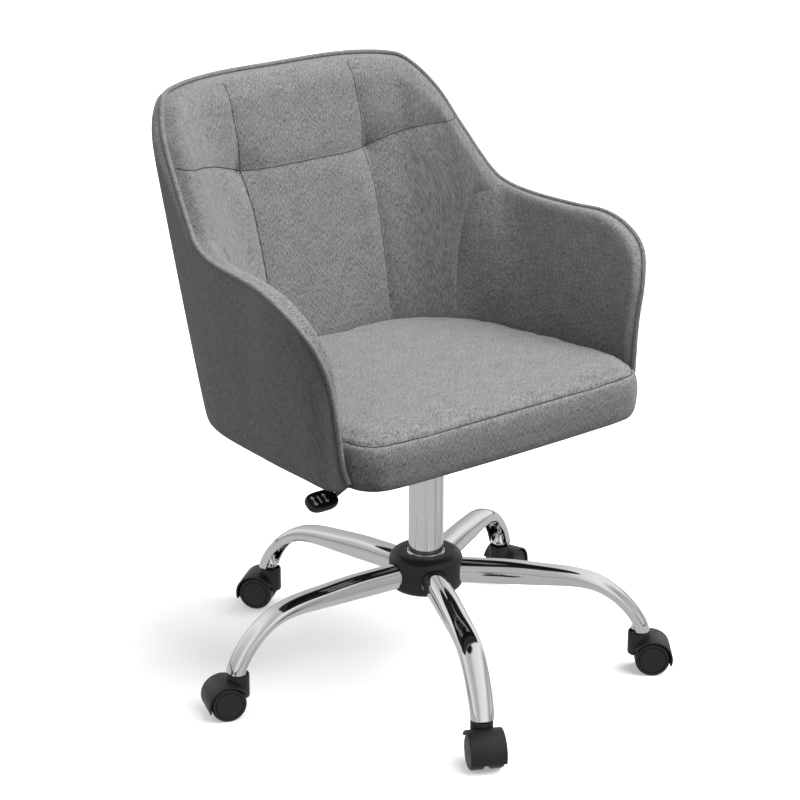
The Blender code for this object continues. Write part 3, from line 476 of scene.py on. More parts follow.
class Shell:
    """The bucket shell, read at any station round the rim and any share of the way down."""

    def __init__(self):
        stations = np.array(SHELL_STATIONS, float) / 1000
        before = stations[1] * (-1, 1, 1, -1, 1, -1, 1, 1)
        after = 2 * stations[-1] - stations[-2]
        self.rows = np.vstack([before, stations, after])
        self.last = len(stations) - 1

    def read(self, s):
        row = catmull(self.rows, s)
        rim = row[..., 0:3]
        low = np.full(rim.shape[:-1] + (1,), SHELL_BOTTOM)
        foot = np.concatenate([row[..., 3:5], low], axis=-1)
        height = np.minimum(PAD_FOOT_HEIGHT, SHELL_BOTTOM + 0.85 * (rim[..., 2:3] - SHELL_BOTTOM))
        pad_foot = np.concatenate([row[..., 5:7], height], axis=-1)
        ahead = catmull(self.rows, np.clip(s + 0.02, 0, self.last))[..., 3:5]
        behind = catmull(self.rows, np.clip(s - 0.02, 0, self.last))[..., 3:5]
        tangent = ahead - behind
        out = self.flat(np.stack([-tangent[..., 1], tangent[..., 0]], axis=-1))
        into = self.flat(row[..., 5:7] - row[..., 3:5])
        return Section(rim, foot, pad_foot, out, into, row[..., 7:8])

    @staticmethod
    def flat(vectors):
        unit = vectors / np.linalg.norm(vectors, axis=-1, keepdims=True)
        return np.concatenate([unit, np.zeros(unit.shape[:-1] + (1,))], axis=-1)

    @staticmethod
    def rounding(depth, edge=ROUND_EDGE):
        reach = np.clip(depth / edge, 0, 1)
        return np.sqrt(1 - (1 - reach) ** 2)

    def outer(self, s, down):
        at = self.read(s)
        d = down[..., None]
        depth = np.linalg.norm(at.foot - at.rim, axis=-1, keepdims=True) * d
        swell = at.bulge * self.rounding(depth) * np.clip((1 - d) / 0.9, 0, 1) ** 0.7
        return at.rim + (at.foot - at.rim) * d + at.out * swell

    def inner(self, s, down):
        at = self.read(s)
        drop = at.pad_foot - at.rim
        share = np.clip(down[..., None] / PAD_SHARE, 0, 1)
        depth = np.linalg.norm(drop, axis=-1, keepdims=True) * share
        edge, crown, roll = [np.interp(s, BACK_TO_ARM, pair)[..., None]
                             for pair in (PAD_EDGES, PAD_CROWNS, PAD_ROLLS)]
        crown = crown * self.rounding(depth, edge) * (1 - share ** 2.5)
        crown = crown * np.clip((at.rim[..., 2:3] - PAD_LOW) / 0.20, 0, 1)
        roll = roll * np.clip((at.rim[..., 2:3] - PAD_LOW) / 0.12, 0, 1)
        face = at.rim + drop * share + at.into * crown
        low = np.clip((down[..., None] - PAD_SHARE) / (1 - PAD_SHARE), 0, 1)
        face[..., 2:3] += roll * fell(depth - 0.007, 0.007) - WELT_GROOVE * fell(depth, 0.003)
        face[..., 2:3] += (SHELL_BOTTOM + 0.002 - at.pad_foot[..., 2:3]) * low
        return face

    def stations(self, first, last):
        """Stations spaced evenly along the shell's middle height."""
        dense = np.linspace(first, last, 2000)
        mid = self.outer(dense, np.full(dense.shape, 0.35))
        length = np.concatenate([[0], np.cumsum(np.linalg.norm(np.diff(mid, axis=0), axis=1))])
        count = int(length[-1] / ROW_STEP)
        return np.interp(np.linspace(0, length[-1], count + 1), length, dense)

    def downs(self, s, rows):
        """Shares of the drop for each column: close together over the rounded rim, then even."""
        at = self.read(s)
        length = np.linalg.norm(at.foot - at.rim, axis=-1)
        edge = np.minimum(0.45, ROUND_EDGE / length)
        fine = np.linspace(0, 1, 10) ** 1.7
        rest = np.linspace(0, 1, rows + 1)[1:]
        return np.concatenate([fine[:, None] * edge, edge + rest[:, None] * (1 - edge)], axis=0)


def mirror(points):
    return points * np.array((-1, 1, 1))


def both_sides(grid):
    """Columns (axis 1) of the right half, mirrored round the middle column."""
    return np.concatenate([mirror(grid[:, :0:-1]), grid], axis=1)


def placed(grid):
    return grid + np.array(COLUMN)


def outer_cover(shell):
    s = shell.stations(0, shell.last)
    down = shell.downs(s, 90)
    across = np.broadcast_to(s, down.shape)
    into = shell.read(s).into
    face = shell.outer(across, down)
    rise = np.clip((face[..., 2:3] - SHELL_BOTTOM) / (2 * HEM_EDGE), 0, 1)
    face = face + into * HEM_EDGE * (1 - np.sqrt(1 - (1 - rise) ** 2))
    groove = 0.0016 * fell((across - (SIDE_SEAM_TOP + 6 * down))[..., None] * 0.050, 0.0035)
    face = face + into * groove * np.clip(1 - down[..., None] / 0.35, 0, 1)
    lip = face[-1:] + into * np.array([[[0.006]], [[0.020]]])
    inside = face[::-6] + into * 0.0035
    inside = np.concatenate([inside, (face[:1] + into * 0.0015)], axis=0)
    inside[..., 2] = np.maximum(inside[..., 2], SHELL_BOTTOM + 0.0025)
    ring = both_sides(np.concatenate([face, lip, inside], axis=0))
    return lofted("outer_cover", placed(ring.transpose(1, 0, 2)))


def seam_height(x):
    """Height of the back's cross seam: level between the tufts, then rising to the rim."""
    reach = np.clip((np.abs(x) - BACK_SEAM_X) / 0.14, 0, 1)
    return BACK_SEAM_Z + BACK_SEAM_RISE * reach * (1.6 - 0.6 * reach)


def seam_side(z):
    """Distance of the back's upright seams from the middle."""
    return BACK_SEAM_X - BACK_SEAM_LEAN * np.clip(BACK_SEAM_Z - z, 0, 1)


def warp_station(c, down):
    """Slants the columns so that one follows the seam between back and arm."""
    g = np.clip(down / PAD_SHARE, 0, 1)
    seam = SIDE_SEAM_TOP + (SIDE_SEAM_FOOT - SIDE_SEAM_TOP) * (1 - (1 - g) ** 1.7)
    last = len(SHELL_STATIONS) - 1
    back = c * seam / SIDE_SEAM_TOP
    arm = seam + (c - SIDE_SEAM_TOP) * (last - seam) / (last - SIDE_SEAM_TOP)
    return np.where(c <= SIDE_SEAM_TOP, back, arm)


def sewn(face, into, fade):
    """Pulls the pad in along the back's sewn lines and at its two tufts."""
    x, z = face[..., 0:1], face[..., 2:3]
    side = np.abs(x) - seam_side(z)
    cross = z - seam_height(x)
    depth = pull(np.hypot(side, cross), *TUFT_PULL) + pull(side, *UPRIGHT_PULL) + pull(cross, *CROSS_PULL)
    return face - into * depth * fade


def inner_pad(shell, name, first, last, mirrored=False):
    """Padding between two columns. From column 0 it runs round both sides of the back."""
    c = shell.stations(first, last)
    down = shell.downs(c, 84)
    s = warp_station(np.broadcast_to(c, down.shape), down)
    into = shell.read(s).into
    face = shell.inner(s, down)
    if first == 0:
        face = sewn(face, into, np.clip(down * 8, 0, 1)[..., None])
    from_seam = np.abs(np.broadcast_to(c, down.shape) - SIDE_SEAM_TOP)[..., None] * STATION_WIDTH
    fade = np.clip((down[..., None] - 0.06) / 0.22, 0, 1)
    fade = fade * np.clip((0.80 - down[..., None]) / 0.20, 0.15, 1)
    face = face - into * pull(from_seam, *SIDE_PULL) * fade
    start = 0.0016 / np.linalg.norm(face[-1] - face[0], axis=-1).max()
    behind_down = np.clip(down[::-7], start, 1)
    behind_s = s[::-7]
    behind = shell.outer(behind_s, behind_down)
    behind = behind + (shell.inner(behind_s, behind_down) - behind) * 0.42
    behind[..., 2] = np.maximum(behind[..., 2], SHELL_BOTTOM + 0.002)
    ring = np.concatenate([face, behind], axis=0)
    if first == 0:
        ring = both_sides(ring)
    if mirrored:
        ring = mirror(ring)
    return lofted(name, placed(ring.transpose(1, 0, 2)))


def piping_path(shell):
    s = shell.stations(0, shell.last)
    rim = shell.read(s).rim
    return np.concatenate([mirror(rim[:0:-1]), rim], axis=0)


def surface_of(made):
    bpy.context.view_layer.update()
    mesh = made.data
    verts = [v.co.copy() for v in mesh.vertices]
    return BVHTree.FromPolygons(verts, [tuple(p.vertices) for p in mesh.polygons])


def laid_on(surface, starts):
    """Points where straight shots towards the back meet a surface, sunk into it by a hair."""
    towards_back = Vector((0, 1, 0))
    hits = [surface.ray_cast(Vector(start) + COLUMN, towards_back)[0] for start in starts]
    return [hit + towards_back * THREAD_SINK for hit in hits if hit is not None]


# Lays a thin tube along a seam; its dark material paints the shade of the seam's groove.
def painted_shade_thread(name, path):
    piece(name, tube(name, path, THREAD_RADIUS, 8), SEAM_THREAD_PAINTED_SHADE, "seat")


def back_seams(pad):
    surface = surface_of(pad)
    y = -0.05
    for side, sign in (("left", 1), ("right", -1)):
        rise = [(sign * float(seam_side(z)), y, z) for z in np.arange(0.462, 0.812, 0.004)]
        painted_shade_thread(f"back_seam_{side}", laid_on(surface, rise))
        wing = [(sign * x, y, float(seam_height(x))) for x in np.arange(BACK_SEAM_X, 0.246, 0.003)]
        painted_shade_thread(f"back_cross_seam_{side}", laid_on(surface, wing))
    middle = [(x, y, BACK_SEAM_Z) for x in np.arange(-BACK_SEAM_X, BACK_SEAM_X + 0.001, 0.004)]
    painted_shade_thread("back_cross_seam_middle", laid_on(surface, middle))


def make_shell():
    shell = Shell()
    piece("outer_cover", outer_cover(shell), OUTER_CLOTH, "seat", ("outer_shell",))
    back = piece("back_padding", inner_pad(shell, "back_padding", 0, SIDE_SEAM_TOP), CLOTH, "seat",
                 ("back_pad",))
    for side, flip in (("left", False), ("right", True)):
        name = f"arm_padding_{side}"
        arm = piece(name, inner_pad(shell, name, SIDE_SEAM_TOP, shell.last, flip), CLOTH, "seat",
                    (f"arm_pad_{side}",))
    path = placed(piping_path(shell))
    piece("welt_piping", tube("welt_piping", path, PIPING_RADIUS, 14), CLOTH, "seat",
          ("piping",))
    back_seams(back)
    return shell


# ---- cushion ------------------------------------------------------------------------------
def cushion_outline(shell, inset, front):
    """The cushion seen from above: along the pads, then round the front corners."""
    s = shell.stations(0, shell.last)
    at = shell.read(s)
    side = (at.pad_foot + at.into * (inset - CUSHION_TUCK))[:, :2]
    radius, half = CUSHION_CORNER, CUSHION_HALF_WIDTH - inset
    ahead = at.pad_foot[:, 1] > CUSHION_FRONT + CUSHION_CORNER + 0.012
    side = side[ahead][::3]
    angles = np.radians(np.linspace(0, 90, 10))
    corner = np.stack([half - radius + radius * np.cos(angles),
                       front + radius - radius * np.sin(angles)], axis=1)
    half_front = [(x, front - 0.005 * (1 - (x / half) ** 2)) for x in np.linspace(half - radius, 0, 14)[1:]]
    right = np.concatenate([side, corner, half_front])
    left = right[-2:0:-1] * (-1, 1)
    return np.concatenate([right, left])


def cushion_body(shell):
    """Rings from the bottom edge up to the seam, then drawn in towards the middle over the crown."""
    sides = ((0.3760, 0.0080), (0.3800, 0.0045), (0.3900, 0.0018), (0.4150, 0.0015), (0.4330, 0.0030),
             (0.4400, 0.0060), (0.4450, 0.0110))
    rings = []
    for z, inset in sides:
        outline = cushion_outline(shell, inset, CUSHION_FRONT + inset)
        rings.append([(x, y, z) for x, y in outline])
    top = np.array(rings[-1])
    middle = (top.min(axis=0) + top.max(axis=0)) / 2
    for share in (0.05, 0.12, 0.22, 0.36, 0.52, 0.68, 0.84, 0.97):
        ring = top + (middle - top) * share
        ring[:, 2] = top[:, 2] + (CUSHION_CROWN_Z - top[:, 2]) * (1 - (1 - share) ** 3)
        rings.append(ring)
    return rings


def swollen(mesh, voxel=0.005, frames=20, pressure=4.0, cap=0.007):
    """Remeshes a closed body and lets cloth pressure fill it, with each point's travel capped."""
    scene = bpy.context.scene
    made = bpy.data.objects.new("swelling", mesh)
    scene.collection.objects.link(made)
    remesh = made.modifiers.new("even", "REMESH")
    remesh.mode, remesh.voxel_size = "VOXEL", voxel
    bpy.context.view_layer.update()
    even = bpy.data.meshes.new_from_object(made.evaluated_get(bpy.context.evaluated_depsgraph_get()))
    made.modifiers.clear()
    made.data = even
    start = np.array([v.co for v in even.vertices])
    cloth_effect = made.modifiers.new("cloth", "CLOTH")
    settings = cloth_effect.settings
    settings.use_pressure = True
    settings.uniform_pressure_force = pressure
    settings.quality = 5
    settings.mass = 0.3
    settings.tension_stiffness = settings.compression_stiffness = 12
    settings.bending_stiffness = 2.0
    settings.effector_weights.gravity = 0.0
    cloth_effect.point_cache.frame_start, cloth_effect.point_cache.frame_end = 1, frames
    for frame_number in range(1, frames + 1):
        scene.frame_set(frame_number)
    evaluated = made.evaluated_get(bpy.context.evaluated_depsgraph_get())
    end = np.array([v.co for v in evaluated.data.vertices])
    scene.frame_set(1)
    bpy.data.objects.remove(made)
    outward = np.array([v.normal for v in even.vertices])
    travel = outward * np.clip(((end - start) * outward).sum(axis=1, keepdims=True), 0.3 * cap, cap)
    soft = np.clip((start[:, 2:3] - CUSHION_SEAT) / 0.03, 0, 1)
    even.vertices.foreach_set("co", (start + travel * soft).ravel())
    return even


def subdivided(mesh):
    made = bpy.data.objects.new("subdivide", mesh)
    bpy.context.scene.collection.objects.link(made)
    made.modifiers.new("finer", "SUBSURF").levels = 1
    bpy.context.view_layer.update()
    finer = bpy.data.meshes.new_from_object(made.evaluated_get(bpy.context.evaluated_depsgraph_get()))
    bpy.data.objects.remove(made)
    return finer


def cushion_seam(surface, shell):
    """The stitched line between the cushion's top and its boxed front, laid on the swollen surface."""
    path = []
    for x, y in cushion_outline(shell, 0.006, CUSHION_FRONT + 0.006):
        if y < -0.085:
            path.append(surface.find_nearest(Vector((x, y, CUSHION_SEAM_Z)))[0])
    start = max(range(len(path)), key=lambda k: (path[k] - path[k - 1]).length)
    return path[start:] + path[:start]


def face_uvs(mesh):
    """Cloth laid flat on the top, and round the boxed sides."""
    layer = mesh.uv_layers.new(name="cloth")
    coords = np.empty(len(mesh.vertices) * 3)
    mesh.vertices.foreach_get("co", coords)
    coords = coords.reshape(-1, 3)
    for face in mesh.polygons:
        n = face.normal
        if abs(n.z) > 0.62 or (n.z > 0.2 and face.center.z > CUSHION_SEAM_Z):
            axes = (0, 1)
        else:
            axes = (0, 2) if abs(n.y) > abs(n.x) * 0.8 else (1, 2)
        for loop in face.loop_indices:
            p = coords[mesh.loops[loop].vertex_index]
            layer.data[loop].uv = (p[axes[0]], p[axes[1]])


def make_cushion(shell):
    mesh = lofted("cushion", cushion_body(shell))
    mesh = subdivided(swollen(mesh))
    surface = BVHTree.FromPolygons([v.co for v in mesh.vertices],
                                   [tuple(p.vertices) for p in mesh.polygons])
    seam = cushion_seam(surface, shell)
    tree = BVHTree.FromPolygons(*seam_ribbon(seam))
    coords = np.array([v.co for v in mesh.vertices])
    for k, vertex in enumerate(mesh.vertices):
        near = tree.find_nearest(vertex.co, 0.008)
        if near[0] is not None:
            coords[k] -= np.array(vertex.normal) * 0.0022 * np.exp(-(near[3] / 0.0028) ** 2)
    seat = coords[:, 1] > CUSHION_LIP_BACK
    coords[seat, 2] = np.maximum(coords[seat, 2], CUSHION_SEAT)
    coords[:, 2] = np.maximum(coords[:, 2], CUSHION_LIP)
    mesh.vertices.foreach_set("co", (coords + np.array(COLUMN)).ravel())
    face_uvs(mesh)
    mesh.shade_smooth()
    made = piece("cushion", mesh, CLOTH, "seat", ("seat_cushion",))
    sunk = surface_of(made)
    path = [sunk.find_nearest(p + COLUMN)[0] for p in seam]
    # the cushion's seam line, dark with painted shade of its groove
    painted_shade_thread("cushion_seam", path)
    return made


def seam_ribbon(path):
    """A hair-thin strip along a path, for measuring how far a point is from it."""
    verts, faces = [], []
    for k, p in enumerate(path):
        verts += [p, p + Vector((0, 0, 1e-5))]
        if k:
            faces.append((2 * k - 2, 2 * k - 1, 2 * k + 1, 2 * k))
    return verts, faces


# ---- base ---------------------------------------------------------------------------------
def superellipse(half_width, half_height, angle, power=2.35):
    c, s = np.sin(angle), -np.cos(angle)
    return (half_width * np.sign(c) * np.abs(c) ** (2 / power),
            half_height * np.sign(s) * np.abs(s) ** (2 / power))


def leg_mesh():
    """A pressed tube along +X whose underside opens into a slot over its outer end."""
    rows = np.array(LEG_STATIONS, float)
    rows = np.vstack([2 * rows[0] - rows[1], rows, 2 * rows[-1] - rows[-2]])
    rings = []
    for r, z, half_width, half_height, tilt, slot in catmull(rows, np.linspace(0, len(rows) - 3, 57)):
        t = radians(tilt)
        up, centre = np.array((cos(t), 0, sin(t))), np.array((r, 0, z))
        gap = max(0.01, radians(62) * min(1, max(0, slot)))
        angles = np.linspace(gap, 2 * pi - gap, 44)
        outline = []
        for shrink, order in ((0, 1), (LEG_WALL, -1)):
            across, rise = superellipse(half_width - shrink, half_height - shrink, angles[::order])
            outline += [centre + up * b + np.array((0, a, 0)) for a, b in zip(across, rise)]
        rings.append(outline)
    mesh = lofted("leg", rings, sharp=50)
    round_it = len(rings[0])
    for face in mesh.polygons[:(len(rings) - 1) * round_it]:
        face.material_index = int(face.index % round_it >= round_it // 2)
    return mesh


def socket_mesh():
    """Ribbed cone pressed into the leg's end, with the top of the stem showing over it."""
    cone = [(0, 0.0662), (0.0112, 0.0662), (0.0114, 0.0675), (0.0100, 0.0690), (0.0066, 0.0800),
            (0.0050, 0.0806), (0.0030, 0.0808), (0.0030, 0.0812)]
    ball = [(0.0034 * cos(a) + 0.0002, 0.0836 + 0.0034 * sin(a)) for a in np.radians(range(-40, 61, 20))]
    return turned("socket", cone + ball + [(0.0010, 0.0858), (0, 0.0858)], 32)


def hub_mesh():
    top, bottom, r = 0.1780, 0.1240, 0.0525
    outline = [(0.0282, top - 0.004), (0.0282, top - 0.0008), (0.0290, top)]
    outline += [(r - 0.015 + 0.015 * sin(a), top - 0.015 + 0.015 * cos(a))
                for a in np.radians(range(0, 91, 9))]
    outline += [(r + 0.0003, (top + bottom) / 2)]
    outline += [(r - 0.009 + 0.009 * cos(a), bottom + 0.009 - 0.009 * sin(a))
                for a in np.radians(range(0, 91, 15))]
    outline += [(r - 0.012, bottom), (r - 0.006, bottom + 0.012), (r - 0.006, top - 0.016),
                (0.0350, top - 0.004)]
    cover = turned("hub", outline, 96)
    cuts = []
    for k in range(LEG_COUNT):
        turn = np.array(Matrix.Rotation(radians(FIRST_LEG_ANGLE + 72 * k), 3, "Z"))
        angles = np.linspace(0, 2 * pi, 36, endpoint=False)
        across, rise = superellipse(0.0175 + 0.0007, 0.0178 + 0.0007, angles)
        rings = [[turn @ np.array((x, a, 0.148 + b)) for a, b in zip(across, rise)] for x in (0.036, 0.062)]
        cuts.append(("DIFFERENCE", lofted("hub.cut", rings)))
    return boolean(cover, cuts, "hub")


def at_column(mesh, turn=0.0):
    return moved(mesh, Matrix.Translation(COLUMN) @ Matrix.Rotation(turn, 4, "Z"))


def make_base():
    for k in range(LEG_COUNT):
        angle = radians(FIRST_LEG_ANGLE + 72 * k)
        leg = piece(f"chrome_leg_{k + 1}", at_column(leg_mesh(), angle), CHROME, "base",
                    (f"leg_{k + 1}",))
        leg.data.materials.append(LEG_INSIDE)
        socket = moved(socket_mesh(), Matrix.Translation((STEM_CIRCLE, 0, 0)))
        piece(f"leg_socket_{k + 1}", at_column(socket, angle), CHROME, "base")
    piece("hub_barrel", at_column(hub_mesh()), BLACK, "base", ("hub_cover",))
    ring = [(0.0253, 0.1400), (0.0253, 0.1770), (0.0258, 0.1776), (0.0268, 0.1776),
            (0.0274, 0.1770), (0.0274, 0.1660), (0.0312, 0.1640), (0.0312, 0.1400)]
    piece("hub_ring", at_column(turned("hub_ring", ring, 96)), CHROME, "base",
          ("hub_sleeve",))
    tube_outline = [(0.0250, 0.1265), (0.0250, 0.3172), (0.0244, 0.3180), (0.0232, 0.3180),
                    (0.0232, 0.1265)]
    piece("column", at_column(turned("column", tube_outline, 96)), CHROME, "base",
          ("column_tube",))
    bush = [(0.0146, 0.2600), (0.0146, 0.3206), (0.0152, 0.3210), (0.0240, 0.3210),
            (0.0249, 0.3200), (0.0249, 0.3184), (0.0229, 0.3184), (0.0229, 0.2600)]
    piece("column_collar", at_column(turned("column_collar", bush, 96)), BLACK, "base",
          ("column_bush",))
    lift = [(0.0055, 0.1530), (0.0140, 0.1530), (0.0140, 0.3180), (0.0130, 0.3450), (0.0031, 0.3450),
            (0.0031, 0.3335), (0, 0.3335), (0, 0.3290), (0.0120, 0.3290), (0.0120, 0.1600),
            (0.0055, 0.1600)]
    piece("lift_cylinder", at_column(turned("lift_cylinder", lift, 64)), CHROME, "mechanism",
          ("gas_cylinder",))


def make_spring():
    """The tilt spring: a fixed wire coil in place of the frame's spring; the real one closes up as the seat
    tips back.
    """
    low, high = Vector(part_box("tension_spring")[0]), Vector(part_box("tension_spring")[1])
    axis, bottom, rise = (low + high) / 2, low.z + SPRING_WIRE, high.z - low.z - 2 * SPRING_WIRE
    coil = []
    for share in np.linspace(0, 1, 24 * SPRING_TURNS + 1):
        angle = 2 * pi * SPRING_TURNS * share
        coil.append((axis.x + SPRING_RADIUS * cos(angle), axis.y + SPRING_RADIUS * sin(angle),
                     bottom + rise * share))
    spring = piece("tilt_spring", tube("tilt_spring", coil, SPRING_WIRE), SLOT_LOOKS["steel_part"],
                   "mechanism", ("tension_spring",))
    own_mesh(spring)


# ---- casters ------------------------------------------------------------------------------
def prism(name, outline, half_width):
    """A (y, z) outline pushed along X, centred on x = 0."""
    return lofted(name, [[(-half_width, y, z) for y, z in outline],
                         [(half_width, y, z) for y, z in outline]])


def round_edged(name, outline, half_width, edge=0.0025, steps=4):
    """The same, with its long edges rounded by shrinking the outline towards its middle at both ends."""
    points = np.array(outline, float)
    inward = np.roll(points, -1, axis=0) - np.roll(points, 1, axis=0)
    inward = np.stack([-inward[:, 1], inward[:, 0]], axis=1)
    inward /= np.linalg.norm(inward, axis=1, keepdims=True)
    area = np.sum(points[:, 0] * np.roll(points[:, 1], -1) - np.roll(points[:, 0], -1) * points[:, 1])
    inward *= np.sign(area)
    rings = []
    for side, order in ((-1, range(steps + 1)), (1, range(steps, -1, -1))):
        for k in order:
            a = pi / 2 * k / steps
            x = side * (half_width - edge * (1 - cos(a)))
            rings.append([(x, y, z) for y, z in points + inward * edge * (1 - sin(a))])
    return lofted(name, rings, sharp=30)


def hood_mesh():
    """Local frame: stem on Z, wheels trail towards +Y, axle along X."""
    trail, axle = CASTER_TRAIL, WHEEL_RADIUS

    def rim(radius, degrees):
        return (trail + radius * cos(radians(degrees)), axle + radius * sin(radians(degrees)))

    arc = [rim(HOOD_RADIUS, d) for d in range(-18, 151, 6)] + [rim(0.0262, d) for d in range(150, -19, -6)]
    arc = round_edged("hood", arc, CASTER_WIDTH / 2, edge=0.0011, steps=2)
    collar_outline = [(0, 0.028), (0.0150, 0.028), (0.0155, 0.030), (0.0155, 0.0602), (0.0148, 0.0616),
                      (0.0136, 0.0620), (0.0128, 0.0606), (0.0126, 0.0572), (0.0066, 0.0566),
                      (0.0062, 0.0500), (0, 0.0500)]
    collar = turned("collar", collar_outline, 64)
    room = prism("room", [rim(0.0262, d) for d in range(0, 360, 5)], 0.03)
    web = [rim(HOOD_RADIUS - 0.0012, d) for d in range(-13, 148, 7)]
    web += [(-0.003, 0.030), (0.006, 0.014), (0.019, 0.009), (0.034, 0.011)]
    web = prism("web", web, WEB_THICKNESS / 2)
    bore = turned("bore", [(0, 0.0436), (0.0059, 0.0436), (0.0059, 0.0570), (0, 0.0570)], 48)
    return boolean(collar, [("DIFFERENCE", room), ("UNION", web), ("UNION", arc),
                            ("DIFFERENCE", bore)], "hood")


def wheel_mesh():
    """Turned about X, from the web side at x = 0 to the closed outer face."""
    r, w = WHEEL_RADIUS, WHEEL_WIDTH
    edge = [(r - 0.0035 + 0.0035 * cos(a), w - 0.0035 + 0.0035 * sin(a))
            for a in np.radians(range(0, 91, 15))]
    face = [(r - 0.0050, w), (r - 0.0056, w - 0.0010), (r - 0.0062, w - 0.0010), (r - 0.0068, w - 0.0001),
            (0.0120, w + 0.0003), (0, w + 0.0005)]
    tread = [(0.0033, 0.0004), (r - 0.0015, 0.0004), (r, 0.0018)]
    outline = tread + edge + face + [(0, w - 0.003), (0.0033, w - 0.003)]
    return turned("wheel", outline, 72, axis="X")


def make_casters():
    hood, wheel = hood_mesh(), wheel_mesh()
    well = turned("well", [(0.0060, 0.0562), (0.0126, 0.0568), (0.0128, 0.0600), (0.0122, 0.0604),
                           (0.0110, 0.0574), (0.0060, 0.0568)], 48)
    for k in range(LEG_COUNT):
        angle, trail = radians(FIRST_LEG_ANGLE + 72 * k), radians(CASTER_TRAIL_ANGLES[k])
        place = COLUMN + Vector((STEM_CIRCLE * cos(angle), STEM_CIRCLE * sin(angle), 0))
        stand = Matrix.Translation(place) @ Matrix.Rotation(trail - pi / 2, 4, "Z")
        body = f"caster_{k + 1}"
        piece(f"hood_{k + 1}", moved(hood.copy(), stand), BLACK, body,
              (f"caster_hood_{k + 1}",))
        piece(f"hood_well_{k + 1}", moved(well.copy(), stand), GLOSS_BLACK, body)
        for side, sign, turn in (("a", 1, 0), ("b", -1, pi)):
            put = stand @ Matrix.Translation((sign * WEB_THICKNESS / 2, CASTER_TRAIL, WHEEL_RADIUS))
            made = moved(wheel.copy(), put @ Matrix.Rotation(turn, 4, "Z"))
            piece(f"wheel_{k + 1}{side}", made, BLACK, f"wheel_{k + 1}{side}",
                  (f"caster_wheel_{k + 1}{side}",))


# ---- lever --------------------------------------------------------------------------------
def paddle_mesh(half):
    rings = []
    for a in np.radians(range(-80, 81, 16)):
        shrink = 0.0034 * (1 - cos(a))
        x, y = superellipse(half.x - shrink, half.y - shrink,
                            np.linspace(0, 2 * pi, 48, endpoint=False), 3.0)
        dish = PADDLE_DISH if a > 1 else 0.0
        rings.append([(p, q, half.z * sin(a) - dish) for p, q in zip(x, y)])
    return lofted("paddle", rings, sharp=35)


def marks_mesh(height):
    """A generic up-and-down arrow and a tilting bar with arrow heads, printed on the paddle."""
    marks = [[(-0.0060, -0.0065), (-0.0044, -0.0065), (-0.0044, 0.0065), (-0.0060, 0.0065)]]
    for x in (-0.014, 0.004):
        marks.append([(x - 0.0007, -0.0055), (x + 0.0007, -0.0055), (x + 0.0007, 0.0055),
                      (x - 0.0007, 0.0055)])
        for tip in (0.0082, -0.0082):
            marks.append([(x, tip), (x - 0.0034, tip * 0.49), (x + 0.0034, tip * 0.49)])
    bm = bmesh.new()
    for outline in marks:
        low, high = [[bm.verts.new((x, y, height + h)) for x, y in outline] for h in (-0.0003, 0.0003)]
        bm.faces.new(high)
        bm.faces.new(low[::-1])
        for j in range(len(outline)):
            k = (j + 1) % len(outline)
            bm.faces.new((low[j], low[k], high[k], high[j]))
    bmesh.ops.recalc_face_normals(bm, faces=bm.faces)
    mesh = bpy.data.meshes.new("paddle_marks")
    bm.to_mesh(mesh)
    bm.free()
    return mesh


def make_paddle():
    low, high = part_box("lever_paddle")
    middle = Matrix.Translation((Vector(low) + Vector(high)) / 2)
    place = middle @ Matrix.Rotation(radians(PADDLE_TILT), 4, "X")
    half = Vector(PADDLE_HALF)
    piece("paddle", moved(paddle_mesh(half), place), BLACK, "lever", ("lever_paddle",))
    top = half.z * sin(radians(80)) - PADDLE_DISH
    piece("paddle_marks", moved(marks_mesh(top), place), PRINT, "lever")


# ---- studio -------------------------------------------------------------------------------
def make_camera():
    azimuth, elevation = radians(VIEW_AZIMUTH), radians(VIEW_ELEVATION)
    back = Vector((sin(azimuth) * cos(elevation), -cos(azimuth) * cos(elevation), sin(elevation)))
    data = bpy.data.cameras.new("camera")
    data.lens, data.sensor_width = LENS, SENSOR
    made = bpy.data.objects.new("camera", data)
    bpy.context.scene.collection.objects.link(made)
    made.location = COLUMN + Vector(VIEW_AIM) + back * VIEW_DISTANCE
    made.rotation_euler = back.to_track_quat("Z", "Y").to_euler()
    bpy.context.scene.camera = made
    return back


def sun(name, direction, spread, strength):
    """Very broad soft light from one direction; the reflections come from the world instead."""
    data = bpy.data.lights.new(name, "SUN")
    data.angle, data.energy = radians(spread), strength
    made = bpy.data.objects.new(name, data)
    bpy.context.scene.collection.objects.link(made)
    made.rotation_euler = Vector(direction).to_track_quat("Z", "Y").to_euler()
    made.visible_glossy = False


def make_floor():
    bm = bmesh.new()
    bmesh.ops.create_grid(bm, x_segments=2, y_segments=2, size=20)
    mesh = bpy.data.meshes.new("floor")
    bm.to_mesh(mesh)
    bm.free()
    look = Look("floor")
    shade = look.noise("Object", (0.4, 0.4, 0.4), 1.0)
    look.link(look.ramp(shade, (0.2, grey(0.66)), (0.8, grey(0.67))), look.shader.inputs["Base Color"])
    look.set(roughness=0.9, specular_ior_level=0.1, emission_color=(1, 1, 1, 1),
             emission_strength=FLOOR_LIFT)
    floor = bpy.data.objects.new("floor", mesh)
    mesh.materials.append(look.material)
    bpy.context.scene.collection.objects.link(floor)
    look.material.cycles.emission_sampling = "NONE"
    floor.visible_diffuse = floor.visible_glossy = False


